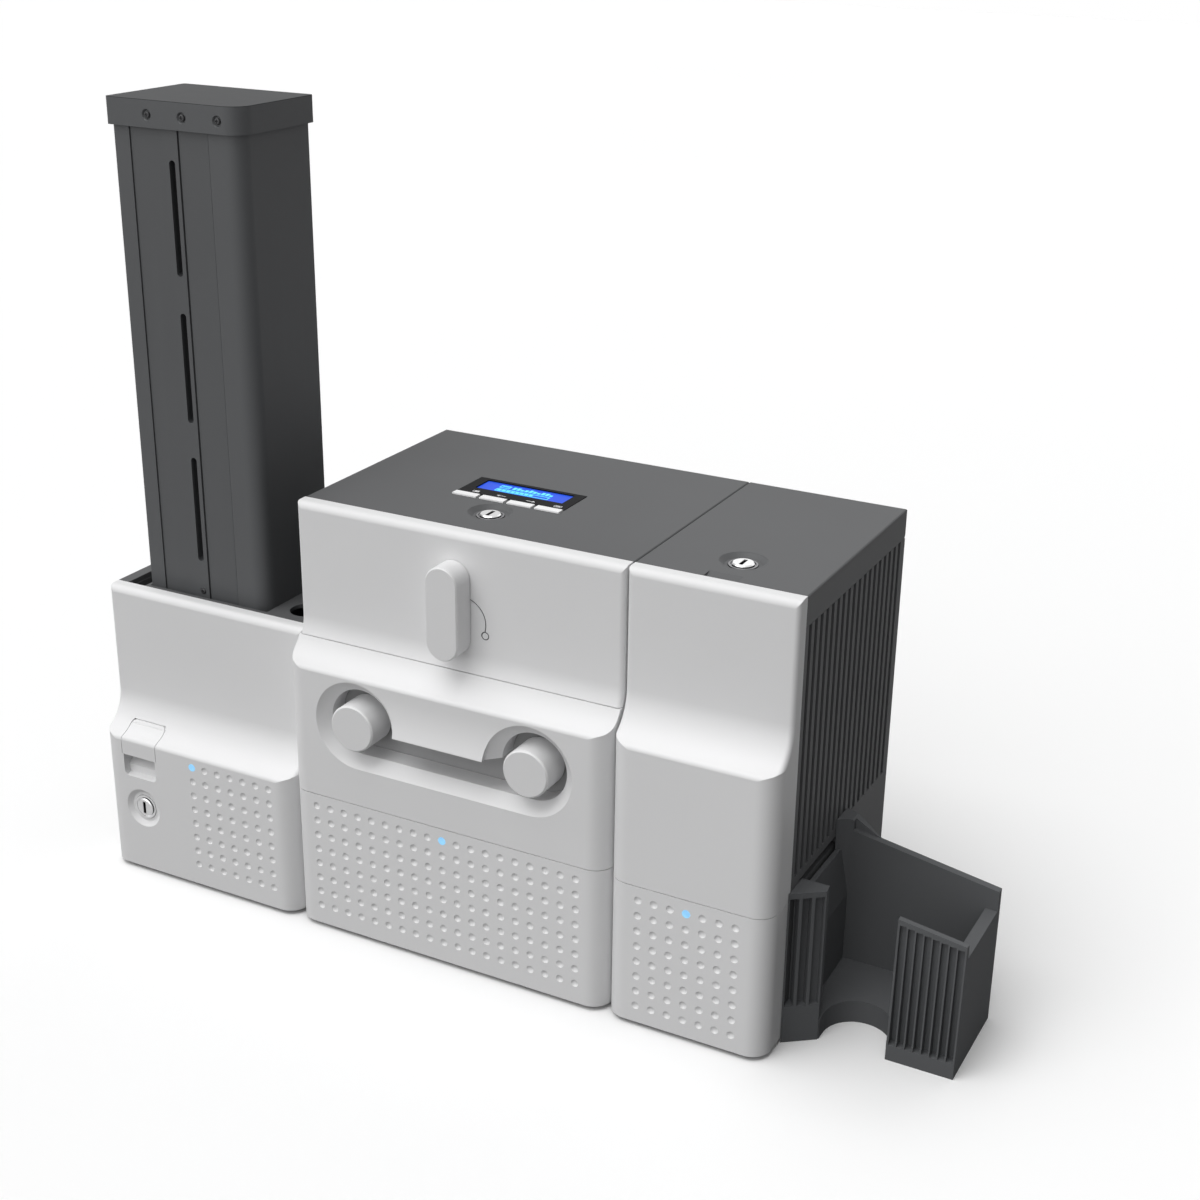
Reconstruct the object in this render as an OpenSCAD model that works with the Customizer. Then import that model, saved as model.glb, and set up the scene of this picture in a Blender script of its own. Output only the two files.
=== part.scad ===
// Desk-top identity card printer: input housing with a card tower, print housing with a
// pull-out ribbon drawer, turn-over housing and an output tray.
// x runs along the three housings, y from front to back, z up from the table top.

/* [Housings] */
// Width of the input housing
feeder_w = 150; // [125:1:190]
// Width of the print housing
printer_w = 217; // [205:1:270]
// Width of the turn-over housing
flipper_w = 100; // [96:1:130]
// Gap between neighbouring housings
module_gap = 1.2; // [0.8:0.1:3]
// Height of the print and turn-over housings
body_h = 274.5; // [265:0.5:340]
// Height of the input housing
feeder_h = 192; // [180:1:220]
// Depth from the lower front face to the back face
body_d = 185; // [175:1:240]
// Height of the rubber feet
foot_h = 3; // [2:0.5:6]
// Thickness of the moulded walls
wall = 2.5; // [2:0.1:3]

/* [Front shape] */
// How far the upper front face is set back
front_step = 19; // [17:0.5:24]
// Radius of the hollow sweep under the upper face
sweep_r = 25; // [22:0.5:32]
// Radius of the nose of the step
edge_r = 3; // [2.8:0.1:4]
// Radius of the upright corners of the lower face
corner_r = 12; // [8:0.5:15]
// Radius of the top front edge
top_r = 4.5; // [3:0.1:6]
// Radius of the upright edges of the upper face
upper_r = 3; // [1.5:0.1:4]
// Depth of the white front covers
cover_d = 28.5; // [26:0.5:36]
// Distance of the printer's sweep below its top
sweep_drop_top = 71.5; // [65:0.5:90]
// Height of the input door's sweep
feeder_sweep_z = 120; // [110:1:130]
// Height of the seam under the ribbon drawer
low_seam_z = 94.6; // [90:0.1:100]
// Height of the turn-over housing's lower seam
flipper_seam_z = 93; // [88:0.5:100]

/* [Lids and lever] */
// Height of the two rear-hinged lids
lid_h = 18; // [14:0.5:24]
// Length of the head lever
lever_l = 57.2; // [44:0.2:64]
// Width of the head lever
lever_w = 21.2; // [16:0.2:26]
// Distance of the lever's axis below the lid's top
lever_drop = 45; // [42:0.5:60]
// Travel of the print head
head_lift = 8; // [4:0.5:8]
// Travel of a menu button
button_travel = 0.8; // [0.4:0.1:1.2]

/* [Ribbon drawer] */
// Radius of the round lobes in the drawer front
lobe_r = 28.2; // [25:0.1:30]
// Radius of the holes the ribbon knobs stand in
lobe_hole_r = 21.1; // [18:0.1:22]
// Distance from each knob to the drawer's middle
spool_off = 59; // [56:0.5:62]
// Radius of a ribbon knob
knob_r = 14.7; // [12:0.1:16]
// Radius of the full supply roll
supply_r = 15; // [10:0.5:16]
// Radius of the part-filled take-up roll
takeup_r = 9.5; // [8:0.5:16]

/* [Cards and tower] */
// Length of a standard card
card_l = 85.6; // [85.5:0.1:85.7]
// Width of a standard card
card_w = 54; // [53.9:0.1:54.1]
// Free room beside a card in the tower
card_clear = 0.8; // [0.5:0.1:1.5]
// Outside width of the tower
tower_w = 91.8; // [91:0.2:110]
// Outside depth of the tower
tower_d = 66.8; // [66:0.2:80]
// Height of the top of the tower's cap
tower_top = 494.6; // [380:0.2:600]
// Height of the tower's cap
cap_h = 16; // [10:0.5:24]

/* [Output tray] */
// Width of the output tray
tray_w = 97.7; // [94:0.1:110]
// Radius of the thumb cut-out
thumb_r = 20; // [14:0.5:22]
// Height of the tray's back wall at the housing
tray_back_z = 104.5; // [95:0.5:120]

/* [Feed mechanism] */
// Tooth size of the feed gears
tooth_m = 0.8; // [0.8:0.1:1]
// Teeth on the pick roller's gear
gear_teeth = 45; // [40:1:50]
// Teeth on the motor pinion
pinion_teeth = 18; // [16:1:24]
// Radius of the turn-over drum
drum_r = 36; // [30:0.5:38]

/* [Fits] */
// Gap between neighbouring pieces
gap = 0.4; // [0.3:0.05:0.6]
// Radial clearance of a turning shaft
running = 0.05; // [0.02:0.01:0.1]

/* [Hidden] */
$fn = 64;
// x limits of the housings and the tray
fx0 = -(feeder_w + module_gap);
fx1 = -module_gap;
rx0 = printer_w + module_gap;
rx1 = rx0 + flipper_w;
sx0 = rx1 + 0.3;
sx1 = sx0 + tray_w;
// The farthest forward point is a knob's face
knob_y = -4;
mid_x = (fx0 + sx1) / 2;
mid_y = (knob_y + body_d) / 2;
// Start of the dark housings behind the white covers
shell_y = cover_d + 0.3;
floor_z = foot_h + wall;
// Side view of the front step
sweep_y = front_step - sweep_r;
step_reach = sweep_r + edge_r;
step_fall = sqrt(step_reach * step_reach - (edge_r - sweep_y) * (edge_r - sweep_y));
sweep_z = body_h - sweep_drop_top;
drawer_top_z = sweep_z - 11.5;
lid_z = body_h - lid_h;
seam = 0.5;
// Card path
path_z = 95;
card_t = 0.76;
card_y = 74;
card_front = card_y - card_w / 2;
card_back = card_y + card_w / 2;
slot_half = 3;
// Print housing layout
print_x = printer_w / 2;
lever_z = body_h - lever_drop;
lever_y = 4;
spool_z = sweep_z - 55.8;
cam_low = 8;
cam_rate = head_lift / 90;
platen_r = 10;
platen_z = path_z - card_t / 2 - platen_r;
feed_r = 8;
feed_z = path_z - card_t / 2 - feed_r;
feed_off = print_x - 13;
bar_r = 2.4;
bar_off = 24.5;
bar_z = path_z + 3.6;
film_t = 0.2;
head_half = 20;
core_r = 6;
flange_r = 18;
frame_front = 33;
frame_back = 114;
plate_t = 3;
rail_off = print_x - 28;
// Lid hinge
hinge_y = body_d - wall;
hinge_z = lid_z + wall;
lid_pin_r = 1.2;
// Display and menu buttons on the lid
bezel_y0 = 82;
bezel_y1 = 111;
bezel_half = 36.7;
bezel_x = print_x - 0.2;
window_half = 29.75;
window_y0 = 92;
window_y1 = 108;
button_w = 16.3;
button_d = 5.3;
button_pitch = 18.65;
button_y = 78.7;
button_up = 0.8;
// Lock
dish_r = 13.4;
dish_in = 10.4;
dish_d = 2.5;
barrel_r = 8.2;
plug_r = 6.3;
printer_lock_y = 59.5;
flipper_x = rx0 + flipper_w / 2;
// Input housing layout
tower_x = fx0 + 64;
tower_y = 38.2;
tower_x0 = tower_x - tower_w / 2;
tower_x1 = tower_x + tower_w / 2;
tower_y1 = tower_y + tower_d;
tower_r = 10;
seat_z = 110;
mag_half = card_l / 2 + card_clear;
deck_z = feeder_h - 3.3;
door_x = fx1 - corner_r;
door_y = corner_r;
door_keep = cover_d - door_y - 0.3;
arm_z = [20, 74];
lug_z = [arm_z[0] - 6.4, arm_z[1] + 6.4];
arm_t = 6;
arm_reach = 20;
flap_x0 = fx0 + 15.7;
flap_w = 28;
flap_back = sweep_r + 1.77;
flap_turn = 43.5;
flap_axis_y = sweep_y + flap_back * cos(flap_turn);
flap_axis_z = feeder_sweep_z - flap_back * sin(flap_turn);
flap_tip = 2.1;
flap_top = flap_axis_z + flap_tip + 0.3;
flap_low = 84;
pocket_low = 69;
recess_d = 4.8;
lock_x = fx0 + 29.9;
lock_z = 47.4;
pick_r = 10;
pick_z = path_z - card_t / 2 - pick_r + 0.3;
gear_r = tooth_m * gear_teeth / 2;
pinion_r = tooth_m * pinion_teeth / 2;
mesh_d = gear_r + pinion_r;
mesh_a = -53.13;
pinion_x = tower_x + mesh_d * cos(mesh_a);
pinion_z = pick_z + mesh_d * sin(mesh_a);
tooth_play = 0.1;
gear_y0 = 109;
gear_y1 = 115;
// Dimples in the lower front faces
dimple_r = 2.85;
dimple_d = 1.3;
dimple_pitch = 10;
dimple_rows = 8;
light_r = 2.4;
// Tray
tray_front = 39.3;
tray_back = 106.6;
tray_wall = 5;
tray_floor = 13;
tray_rise = 3.6;
lid_over = (module_gap - 0.5) / 2;
tray_pitch = 4.8;
tray_slot = 3.9;
tray_skin = 1.2;
cove_w = 9;
cove_d = 4.5;
cove_r = (cove_w * cove_w + cove_d * cove_d) / (2 * cove_d);
thumb_x = sx0 + 37.9;
thumb_y = 46.5;
tray_inner = card_front - 0.6;
tray_lean = 3.7;

// Basic shapes

module place() translate([-mid_x, -mid_y, 0]) children();

module box(x0, x1, y0, y1, z0, z1) translate([x0, y0, z0]) cube([x1 - x0, y1 - y0, z1 - z0]);

module rod_x(y, z, x0, x1, r)
  translate([x0, y, z]) rotate([0, 90, 0]) cylinder(h = x1 - x0, r = r);

module rod_y(x, z, y0, y1, r)
  translate([x, y1, z]) rotate([90, 0, 0]) cylinder(h = y1 - y0, r = r);

module rod_z(x, y, z0, z1, r) translate([x, y, z0]) cylinder(h = z1 - z0, r = r);

// Cone along y, r0 at y0 and r1 at y1
module cone_y(x, z, y0, y1, r0, r1)
  translate([x, y1, z]) rotate([90, 0, 0]) cylinder(h = y1 - y0, r1 = r1, r2 = r0);

// Outline drawn in x and z, pushed from y0 back to y1
module slab_y(points, y0, y1)
  translate([0, y1, 0]) rotate([90, 0, 0]) linear_extrude(y1 - y0) polygon(points);

// Outline drawn in y and z, pushed from x0 to x1
module slab_x(points, x0, x1)
  translate([x0, 0, 0]) rotate([90, 0, 90]) linear_extrude(x1 - x0) polygon(points);

// Upright prism of a plan outline
module slab_z(points, z0, z1)
  translate([0, 0, z0]) linear_extrude(z1 - z0) polygon(points);

// Front covers

// Solid behind the stepped front, moved in by e for the inner face
module side_form(x0, x1, low, top, swz, e) {
  er = max(edge_r - e, 0.3);
  nose_z = swz - step_fall;
  ty = edge_r - er * (edge_r - sweep_y) / step_reach;
  tz = nose_z + er * step_fall / step_reach;
  difference() {
    box(x0, x1, e, body_d, low, top - e);
    box(x0 - 1, x1 + 1, -1, front_step + e, swz, top + 1);
    rod_x(sweep_y, swz, x0 - 1, x1 + 1, sweep_r + e);
    difference() {
      box(x0 - 1, x1 + 1, -1, ty, nose_z, tz + 0.3);
      rod_x(edge_r, nose_z, x0 - 2, x1 + 2, er);
    }
    difference() {
      box(x0 - 1, x1 + 1, front_step + e - 1, front_step + top_r, top - top_r, top + 1);
      rod_x(front_step + top_r, top - top_r, x0 - 2, x1 + 2, top_r - e);
    }
  }
}

// Plan with two rounded front corners
module plan_form(x0, x1, low, top, e) {
  box(x0 + e, x1 - e, corner_r, body_d, low, top);
  box(x0 + corner_r, x1 - corner_r, e, corner_r + 1, low, top);
  for (x = [x0 + corner_r, x1 - corner_r])
    rod_z(x, corner_r, low, top, corner_r - e);
}

// Cutter that rounds a side edge of the upper face and of the sweep, drawn at x = 0
module edge_round(top, swz) {
  r = upper_r;
  difference() {
    box(-1, r, front_step - 1, front_step + r, swz, top + 1);
    rod_z(r, front_step + r, swz - 1, top + 2, r);
  }
  difference() {
    rod_x(sweep_y, swz, -1, r, sweep_r + r);
    rod_x(sweep_y, swz, -2, r + 1, sweep_r - 1);
    translate([0, sweep_y, swz]) rotate([0, 90, 0]) rotate_extrude() translate([sweep_r + r, r]) circle(r = r);
    box(-2, r + 1, sweep_y - sweep_r - r - 1, body_d, swz, swz + sweep_r + r + 1);
  }
}

// White cover shell between two heights
module cover(x0, x1, z0, z1, top, swz) {
  intersection() {
    difference() {
      intersection() {
        side_form(x0 - 1, x1 + 1, 0, top, swz, 0);
        plan_form(x0, x1, 0, top, 0);
      }
      if (z1 > swz) {
        translate([x0, 0, 0]) edge_round(top, swz);
        translate([x1, 0, 0]) mirror([1, 0, 0]) edge_round(top, swz);
      }
      intersection() {
        side_form(x0 - 1, x1 + 1, -2, top, swz, wall);
        plan_form(x0, x1, -2, top, wall);
      }
    }
    box(x0 - 1, x1 + 1, -1, cover_d, z0, z1);
  }
}

// One dimple in the lower front face
module dimple(x, z) translate([x, dimple_d - dimple_r, z]) sphere(r = dimple_r);

// Grid of dimples about a middle x, less the place of the light
module dimples(xc, half, top_z, light_i) {
  for (i = [-half : half], j = [0 : dimple_rows - 1])
    if (!(i == light_i && j == 0)) dimple(xc + i * dimple_pitch, top_z - j * dimple_pitch);
  rod_y(xc + light_i * dimple_pitch, top_z, -1, wall + 1, light_r + 0.2);
}

module light(x, z) rod_y(x, z, -0.1, wall + 2, light_r);

function grid_half(w) = floor((w / 2 - 18) / dimple_pitch);

// Lock, drawn with its face up at z = 0 and its axis on the origin

module lock_seat() {
  translate([0, 0, -dish_d]) cylinder(h = dish_d, r1 = dish_in, r2 = dish_r);
  translate([0, 0, -0.1]) cylinder(h = 1, r = dish_r);
  translate([0, 0, -30]) cylinder(h = 31, r = barrel_r + 0.3);
}

module lock_barrel_shape() {
  difference() {
    translate([0, 0, -14]) cylinder(h = 12, r = barrel_r);
    translate([0, 0, -15]) cylinder(h = 14, r = plug_r + running);
    translate([0, 0, -2.6]) cylinder(h = 1, r = plug_r + 0.9);
  }
}

module lock_plug_shape() {
  difference() {
    union() {
      translate([0, 0, -15.6]) cylinder(h = 14.1, r = plug_r);
      translate([0, 0, -1.5]) cylinder(h = 0.6, r1 = plug_r, r2 = plug_r - 0.6);
      translate([-3.5, -3.5, -18]) cube([7, 18, 2.4]);
    }
    translate([-1.1, -4.1, -9]) cube([2.2, 8.2, 10]);
  }
}

module on_front(x, y, z) translate([x, y, z]) rotate([90, 0, 0]) children();

// Involute teeth, as an outline about the origin with one tooth on the x axis
function involute(a) = tan(a) * 180 / PI - a;
function tooth_half(teeth, rb, rp, r) =
  90 / teeth - tooth_play / rp * 180 / PI + involute(acos(rb / rp))
  - involute(acos(min(1, rb / r)));
function gear_points(teeth) =
  let (
    rp = tooth_m * teeth / 2,
    rb = rp * cos(20),
    ra = rp + tooth_m * 0.95,
    rr = rp - tooth_m * 1.2,
    low = max(rb, rr),
    steps = 5
  )
  [for (t = [0 : teeth - 1])
    let (mid = t * 360 / teeth)
    for (p = concat(
      [[rr, -tooth_half(teeth, rb, rp, low) - 0.2]],
      [for (i = [0 : steps]) let (r = low + (ra - low) * i / steps) [r, -tooth_half(teeth, rb, rp, r)]],
      [for (i = [steps : -1 : 0]) let (r = low + (ra - low) * i / steps) [r, tooth_half(teeth, rb, rp, r)]],
      [[rr, tooth_half(teeth, rb, rp, low) + 0.2]]
    )) [p[0] * cos(mid + p[1]), p[0] * sin(mid + p[1])]
  ];

// Rear lid hinge: ears of the housing and barrels of the lid

module lid_ears(x0, x1) {
  for (x = [x0 + 8, x1 - 14])
    difference() {
      union() {
        rod_x(hinge_y, hinge_z, x, x + 6, 2.4);
        box(x, x + 6, hinge_y - 2.4, body_d - 0.1, lid_z - 3, hinge_z);
      }
      rod_x(hinge_y, hinge_z, x - 1, x + 7, lid_pin_r + 0.02);
    }
}

// Lid of a housing from x0 to x1, reaching out by o0 and o1 to narrow the seam
module lid_shell(x0, x1, o0, o1) {
  difference() {
    union() {
      difference() {
        box(x0 - o0, x1 + o1, shell_y, body_d, lid_z, body_h);
        box(x0 + wall, x1 - wall, shell_y + wall, hinge_y, lid_z - 1, body_h - wall);
        difference() {
          box(x0 - 1, x1 + 1, hinge_y, body_d + 1, lid_z - 1, hinge_z);
          rod_x(hinge_y, hinge_z, x0 - 2, x1 + 2, wall);
        }
      }
      rod_x(hinge_y, hinge_z, x0 + 1, x0 + 20, wall);
      rod_x(hinge_y, hinge_z, x1 - 20, x1 - 1, wall);
    }
    // Room for the ears and the pins
    for (x = [x0 + 8, x1 - 14]) {
      rod_x(hinge_y, hinge_z, x - gap, x + 6 + gap, 3);
      box(x - gap, x + 6 + gap, hinge_y - 6, body_d + 1, lid_z - 1, hinge_z);
      box(x - gap, x + 6 + gap, hinge_y, body_d + 1, hinge_z - 1, hinge_z + 3.5);
      rod_x(hinge_y, hinge_z, x - 5, x + 11, lid_pin_r + running);
    }
    // Softened long edges
    for (x = [x0 - o0, x1 + o1])
      translate([x, 0, body_h]) rotate([0, 45, 0]) translate([-0.4, 0, -0.4]) cube([0.8, body_d * 2 + 40, 0.8]);
    translate([0, body_d, body_h]) rotate([45, 0, 0]) translate([x0 - 1, -0.6, -0.6]) cube([x1 - x0 + 2, 1.2, 1.2]);
  }
}

// Studs that dock a housing against its neighbour
module docking(x0, x1) {
  for (y = [shell_y + 8, body_d - 30], z = [40, 140])
    rod_x(y, z, x0, x1, 5);
}

// Back wall vents
module vents(x0, x1, z0, z1) {
  n = floor((x1 - x0) / 8);
  for (i = [0 : n - 1])
    box(x0 + i * 8, x0 + i * 8 + 4, body_d - wall - 1, body_d + 1, z0, z1);
}

// Input housing

module feeder_chassis() color([0.27, 0.27, 0.28]) place() {
  side = 5;
  top = deck_z - wall - 0.2;
  difference() {
    union() {
      box(fx0, fx1, shell_y, body_d, foot_h, floor_z);
      box(fx0, fx0 + side, shell_y, body_d, floor_z, top);
      box(fx1 - wall, fx1, shell_y, body_d, floor_z, top);
      box(fx0, fx1, body_d - wall, body_d, floor_z, top);
      // Arms that carry the door's hinge pins
      for (z = arm_z)
        box(door_x - arm_reach, door_x - arm_reach + 6, door_y - 3, shell_y + 1, z, z + arm_t);
      for (z = arm_z)
        box(door_x - arm_reach, door_x, door_y - 3, door_y + 3, z, z + arm_t);
      for (z = arm_z)
        box(door_x - arm_reach, fx1, shell_y, shell_y + 5, z - 3, z + 9);
      for (z = arm_z)
        rod_z(door_x, door_y, z, z + 6, 4);
      docking(fx1 - 1, fx1 + module_gap - 0.3);
    }
    for (z = arm_z)
      rod_z(door_x, door_y, z - 1, z + 7, 2.52);
    // Card gate
    box(fx1 - wall - 1, fx1 + 1, card_front - 2, card_back + 2, path_z - slot_half, path_z + slot_half);
    for (i = [0 : 17])
      box(fx0 - 1, fx0 + 2.5, shell_y + 4.3 + i * 8.24, shell_y + 8.3 + i * 8.24, 20, top - 12);
    vents(fx0 + 30, fx1 - 30, 40, 120);
  }
}

module feeder_deck() color([0.3, 0.3, 0.31]) place() {
  difference() {
    union() {
      box(fx0, fx1, shell_y, body_d, deck_z - wall, deck_z);
      box(fx0, fx0 + 8, shell_y, body_d, deck_z - wall, feeder_h);
      box(fx0, fx1, body_d - 8, body_d, deck_z - wall, feeder_h);
      // Sleeve that guides the tower
      box(tower_x0 - gap - 2, tower_x1 + gap + 2, tower_y - gap - 2, tower_y1 + gap + 2, deck_z - 20, deck_z - 1);
      // Well beside the tower
      box(fx0 + 7, tower_x0 - gap, tower_y - 8, tower_y1 - 4, deck_z - 8, deck_z - 1);
    }
    box(tower_x0 - gap, tower_x1 + gap, tower_y - gap, tower_y1 + gap, deck_z - 21, deck_z + 1);
    if (tower_x0 - gap - 2.2 > fx0 + 9.6)
      box(fx0 + 8.6, tower_x0 - gap - 2.2, tower_y - 6, tower_y1 - 6, deck_z - 6, deck_z + 1);
    rod_z(fx1 - 20.2, 52.6, deck_z - 5, deck_z + 1, 10.5);
    // Clear of the door's top edge as it swings
    box(door_x - 12, fx1 + 1, shell_y - 1, shell_y + 4.5, deck_z, feeder_h + 1);
  }
}

module feed_table() color([0.36, 0.37, 0.39]) place() {
  bed = path_z - card_t / 2;
  y0 = card_front - card_clear;
  y1 = card_back + card_clear;
  difference() {
    union() {
      // Front and back cheeks
      box(tower_x0 + 1, tower_x1 - 1, y0 - 4, y0, floor_z, seat_z);
      box(tower_x0 + 1, tower_x1 - 1, y1, y1 + 4, floor_z, seat_z);
      // Bed and end walls
      box(tower_x0 + 1, tower_x1 - 1, y0 - 1, y1 + 1, bed - 3, bed);
      box(tower_x0 + 0.2, tower_x - mag_half, y0 - 4, y1 + 4, bed - 3, seat_z);
      box(tower_x + mag_half, tower_x1 - 0.2, y0 - 4, y1 + 4, bed - 3, seat_z);
      // Guide towards the print housing
      box(tower_x1 - 1, fx1 - wall - 0.4, y0, y1, bed - 3, bed);
      box(tower_x1 - 1, fx1 - wall - 0.4, y0 - 2, y0, bed - 3, bed + 4);
      box(tower_x1 - 1, fx1 - wall - 0.4, y1, y1 + 2, bed - 3, bed + 4);
    }
    // One-card gate
    box(tower_x + mag_half - 1, tower_x1 + 1, y0, y1, bed, bed + card_t * 1.7);
    // Roller windows and shaft bores
    for (y = [card_y - 14, card_y + 14])
      box(tower_x - 12, tower_x + 12, y - 7, y + 7, bed - 4, bed + 1);
    rod_y(tower_x, pick_z, y0 - 5, y1 + 5, 3 + running);
  }
}

module pick_roller() color([0.16, 0.16, 0.17]) place() {
  rod_y(tower_x, pick_z, 37, gear_y1 + 3.2, 3);
  for (y = [card_y - 14, card_y + 14])
    rod_y(tower_x, pick_z, y - 6, y + 6, pick_r);
}

module pick_gear() color([0.9, 0.89, 0.85]) place() {
  difference() {
    union() {
      translate([tower_x, gear_y1, pick_z]) rotate([90, 0, 0]) rotate([0, 0, mesh_a])
        linear_extrude(gear_y1 - gear_y0) polygon(gear_points(gear_teeth));
      rod_y(tower_x, pick_z, gear_y0 - 2, gear_y1 + 2, 6);
    }
    rod_y(tower_x, pick_z, gear_y0 - 3, gear_y1 + 3, 3.02);
    for (i = [0 : 4])
      rod_y(tower_x + 11.2 * cos(i * 72 + 18), pick_z + 11.2 * sin(i * 72 + 18), gear_y0 - 1, gear_y1 + 1, 3.4);
  }
}

module motor_pinion() color([0.78, 0.65, 0.35]) place() {
  difference() {
    union() {
      translate([pinion_x, gear_y1 + 0.5, pinion_z]) rotate([90, 0, 0])
        rotate([0, 0, mesh_a + 180 + 180 / pinion_teeth])
        linear_extrude(gear_y1 - gear_y0 + 1) polygon(gear_points(pinion_teeth));
      rod_y(pinion_x, pinion_z, gear_y0 - 2, gear_y0, 5);
    }
    rod_y(pinion_x, pinion_z, gear_y0 - 3, gear_y1 + 3, 2.5 + running);
  }
}

module feed_motor() color([0.2, 0.2, 0.21]) place() {
  y0 = gear_y1 + 4;
  difference() {
    box(pinion_x - 21, pinion_x + 21, y0, y0 + 36, pinion_z - 21, pinion_z + 21);
    for (sx = [-1, 1], sz = [-1, 1])
      translate([pinion_x + sx * 21, y0 - 1, pinion_z + sz * 21]) rotate([0, 45, 0])
        translate([-2.5, 0, -2.5]) cube([5, 38, 5]);
  }
  rod_y(pinion_x, pinion_z, y0 - 1.8, y0, 11);
  rod_y(pinion_x, pinion_z, gear_y0 - 1.5, y0, 2.5);
  // Foot on the floor of the housing
  box(pinion_x - 19, pinion_x + 19, y0 + 2, y0 + 34, floor_z + 3, pinion_z - 21);
  box(pinion_x - 26, pinion_x + 26, y0 + 2, y0 + 34, floor_z, floor_z + 3);
}

module latch_pocket(e) {
  box(flap_x0 - e, flap_x0 + flap_w + e, wall - 0.01, 20 + e, pocket_low - e, flap_top + 2 + e);
}

// Room for the fingers under the flap, with a sloping sill and rounded lower corners
module latch_recess() {
  x0 = flap_x0 + 1.2;
  x1 = flap_x0 + flap_w - 1.2;
  sill = pocket_low + 0.9;
  low = pocket_low;
  difference() {
    slab_x([[-1, low], [0, low], [recess_d, sill], [recess_d, sill + 5], [16, flap_low], [16, flap_low + 2], [-1, flap_low + 2]], x0, x1);
    for (s = [0, 1])
      translate([s == 0 ? x0 : x1, 0, pocket_low]) mirror([s, 0, 0]) difference() {
        translate([-1, -2, -1]) cube([4, 24, 4]);
        rod_y(3, 3, -3, 23, 3);
      }
  }
  box(x0, x1, wall + 1, 20, flap_low, flap_top + 2);
}

module feeder_door() color([0.93, 0.93, 0.93]) place() {
  half = 3;
  xc = fx1 - 17 - half * dimple_pitch;
  difference() {
    union() {
      difference() {
        cover(fx0, fx1, foot_h, feeder_h, feeder_h, feeder_sweep_z);
        // The hinge side keeps inside the hinge's own circle
        difference() {
          box(door_x, fx1 + 1, door_y, cover_d + 1, 0, feeder_h - wall - 0.1);
          rod_z(door_x, door_y, -1, feeder_h, door_keep);
        }
      }
      // Back of the latch pocket
      intersection() {
        latch_pocket(2);
        union() {
          box(fx0, fx1, 1, 30, 0, feeder_sweep_z - step_fall);
          difference() {
            box(fx0, fx1, 1, 30, 0, flap_top + 5);
            rod_x(sweep_y, feeder_sweep_z, fx0, fx1, sweep_r + 1);
          }
        }
      }
      // Boss behind the lock
      rod_y(lock_x, lock_z, wall - 0.5, 9, dish_r + 2);
      // Hinge lugs
      for (z = lug_z)
        intersection() {
          union() {
            box(door_x - 10, door_x, 1, 17, z, z + 6);
            rod_z(door_x, door_y, z, z + 6, corner_r - 1);
          }
          union() {
            rod_z(door_x, door_y, z, z + 6, 5);
            difference() {
              box(door_x - 9, fx1 - 1, 1, door_y + 1, z, z + 6);
              rod_z(door_x, door_y, z - 1, z + 7, 4);
              box(door_x - 4, fx1, door_y - 3, door_y + 6, z - 1, z + 7);
            }
          }
        }
    }
    dimples(xc, half, 87.7, -half);
    on_front(lock_x, 0, lock_z) lock_seat();
    // Flap opening with the pocket behind and below it
    latch_recess();
    box(flap_x0, flap_x0 + flap_w, -1, 20, flap_low, flap_top - 2.4);
    for (x = [flap_x0 + 2.4, flap_x0 + flap_w - 2.4])
      rod_y(x, flap_top - 2.4, -1, 20, 2.4);
    box(flap_x0 + 2.4, flap_x0 + flap_w - 2.4, -1, 20, flap_top - 4, flap_top);
    rod_x(flap_axis_y, flap_axis_z, flap_x0 - 1.8, flap_x0 + flap_w + 1.8, 1.2 + running);
    // Pin bores
    rod_z(door_x, door_y, 0, lug_z[1] + 5, 2.5 + running);
  }
}

module feeder_light() color([0.55, 0.8, 1]) place()
  light(fx1 - 17 - 6 * dimple_pitch, 87.7);

module feeder_latch() color([0.93, 0.93, 0.93]) place() {
  g = gap;
  difference() {
    intersection() {
      union() {
        box(flap_x0 + g, flap_x0 + flap_w - g, -1, 20, flap_low, flap_top - g - 3.4);
        for (x = [flap_x0 + g + 3.4, flap_x0 + flap_w - g - 3.4])
          rod_y(x, flap_top - g - 3.4, -1, 20, 3.4);
        box(flap_x0 + g + 3.4, flap_x0 + flap_w - g - 3.4, -1, 20, flap_top - 5, flap_top - g);
      }
      difference() {
        side_form(flap_x0 - 1, flap_x0 + flap_w + 1, 0, feeder_h, feeder_sweep_z, 0);
        side_form(flap_x0 - 2, flap_x0 + flap_w + 2, -1, feeder_h, feeder_sweep_z, wall - 0.3);
      }
    }
    // Its upper edge keeps inside a circle about the pivot
    difference() {
      box(flap_x0, flap_x0 + flap_w, -1, 30, flap_axis_z, flap_top + 2);
      rod_x(flap_axis_y, flap_axis_z, flap_x0 - 1, flap_x0 + flap_w + 1, flap_tip);
    }
  }
  // Pivot barrel and its stub pins
  difference() {
    union() {
      rod_x(flap_axis_y, flap_axis_z, flap_x0 + 2.2, flap_x0 + flap_w - 2.2, 1.5);
      box(flap_x0 + 2.2, flap_x0 + flap_w - 2.2, flap_axis_y - 2.5, flap_axis_y, flap_axis_z - 2.2, flap_axis_z);
    }
    rod_x(sweep_y, feeder_sweep_z, flap_x0, flap_x0 + flap_w, sweep_r + 0.4);
  }
  rod_x(flap_axis_y, flap_axis_z, flap_x0 - 1.4, flap_x0 + flap_w + 1.4, 1.2);
}

module feeder_lock_barrel() color([0.75, 0.76, 0.78]) place()
  on_front(lock_x, 0, lock_z) lock_barrel_shape();

module feeder_lock_plug() color([0.8, 0.81, 0.83]) place()
  on_front(lock_x, 0, lock_z) lock_plug_shape();

// Card tower

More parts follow.
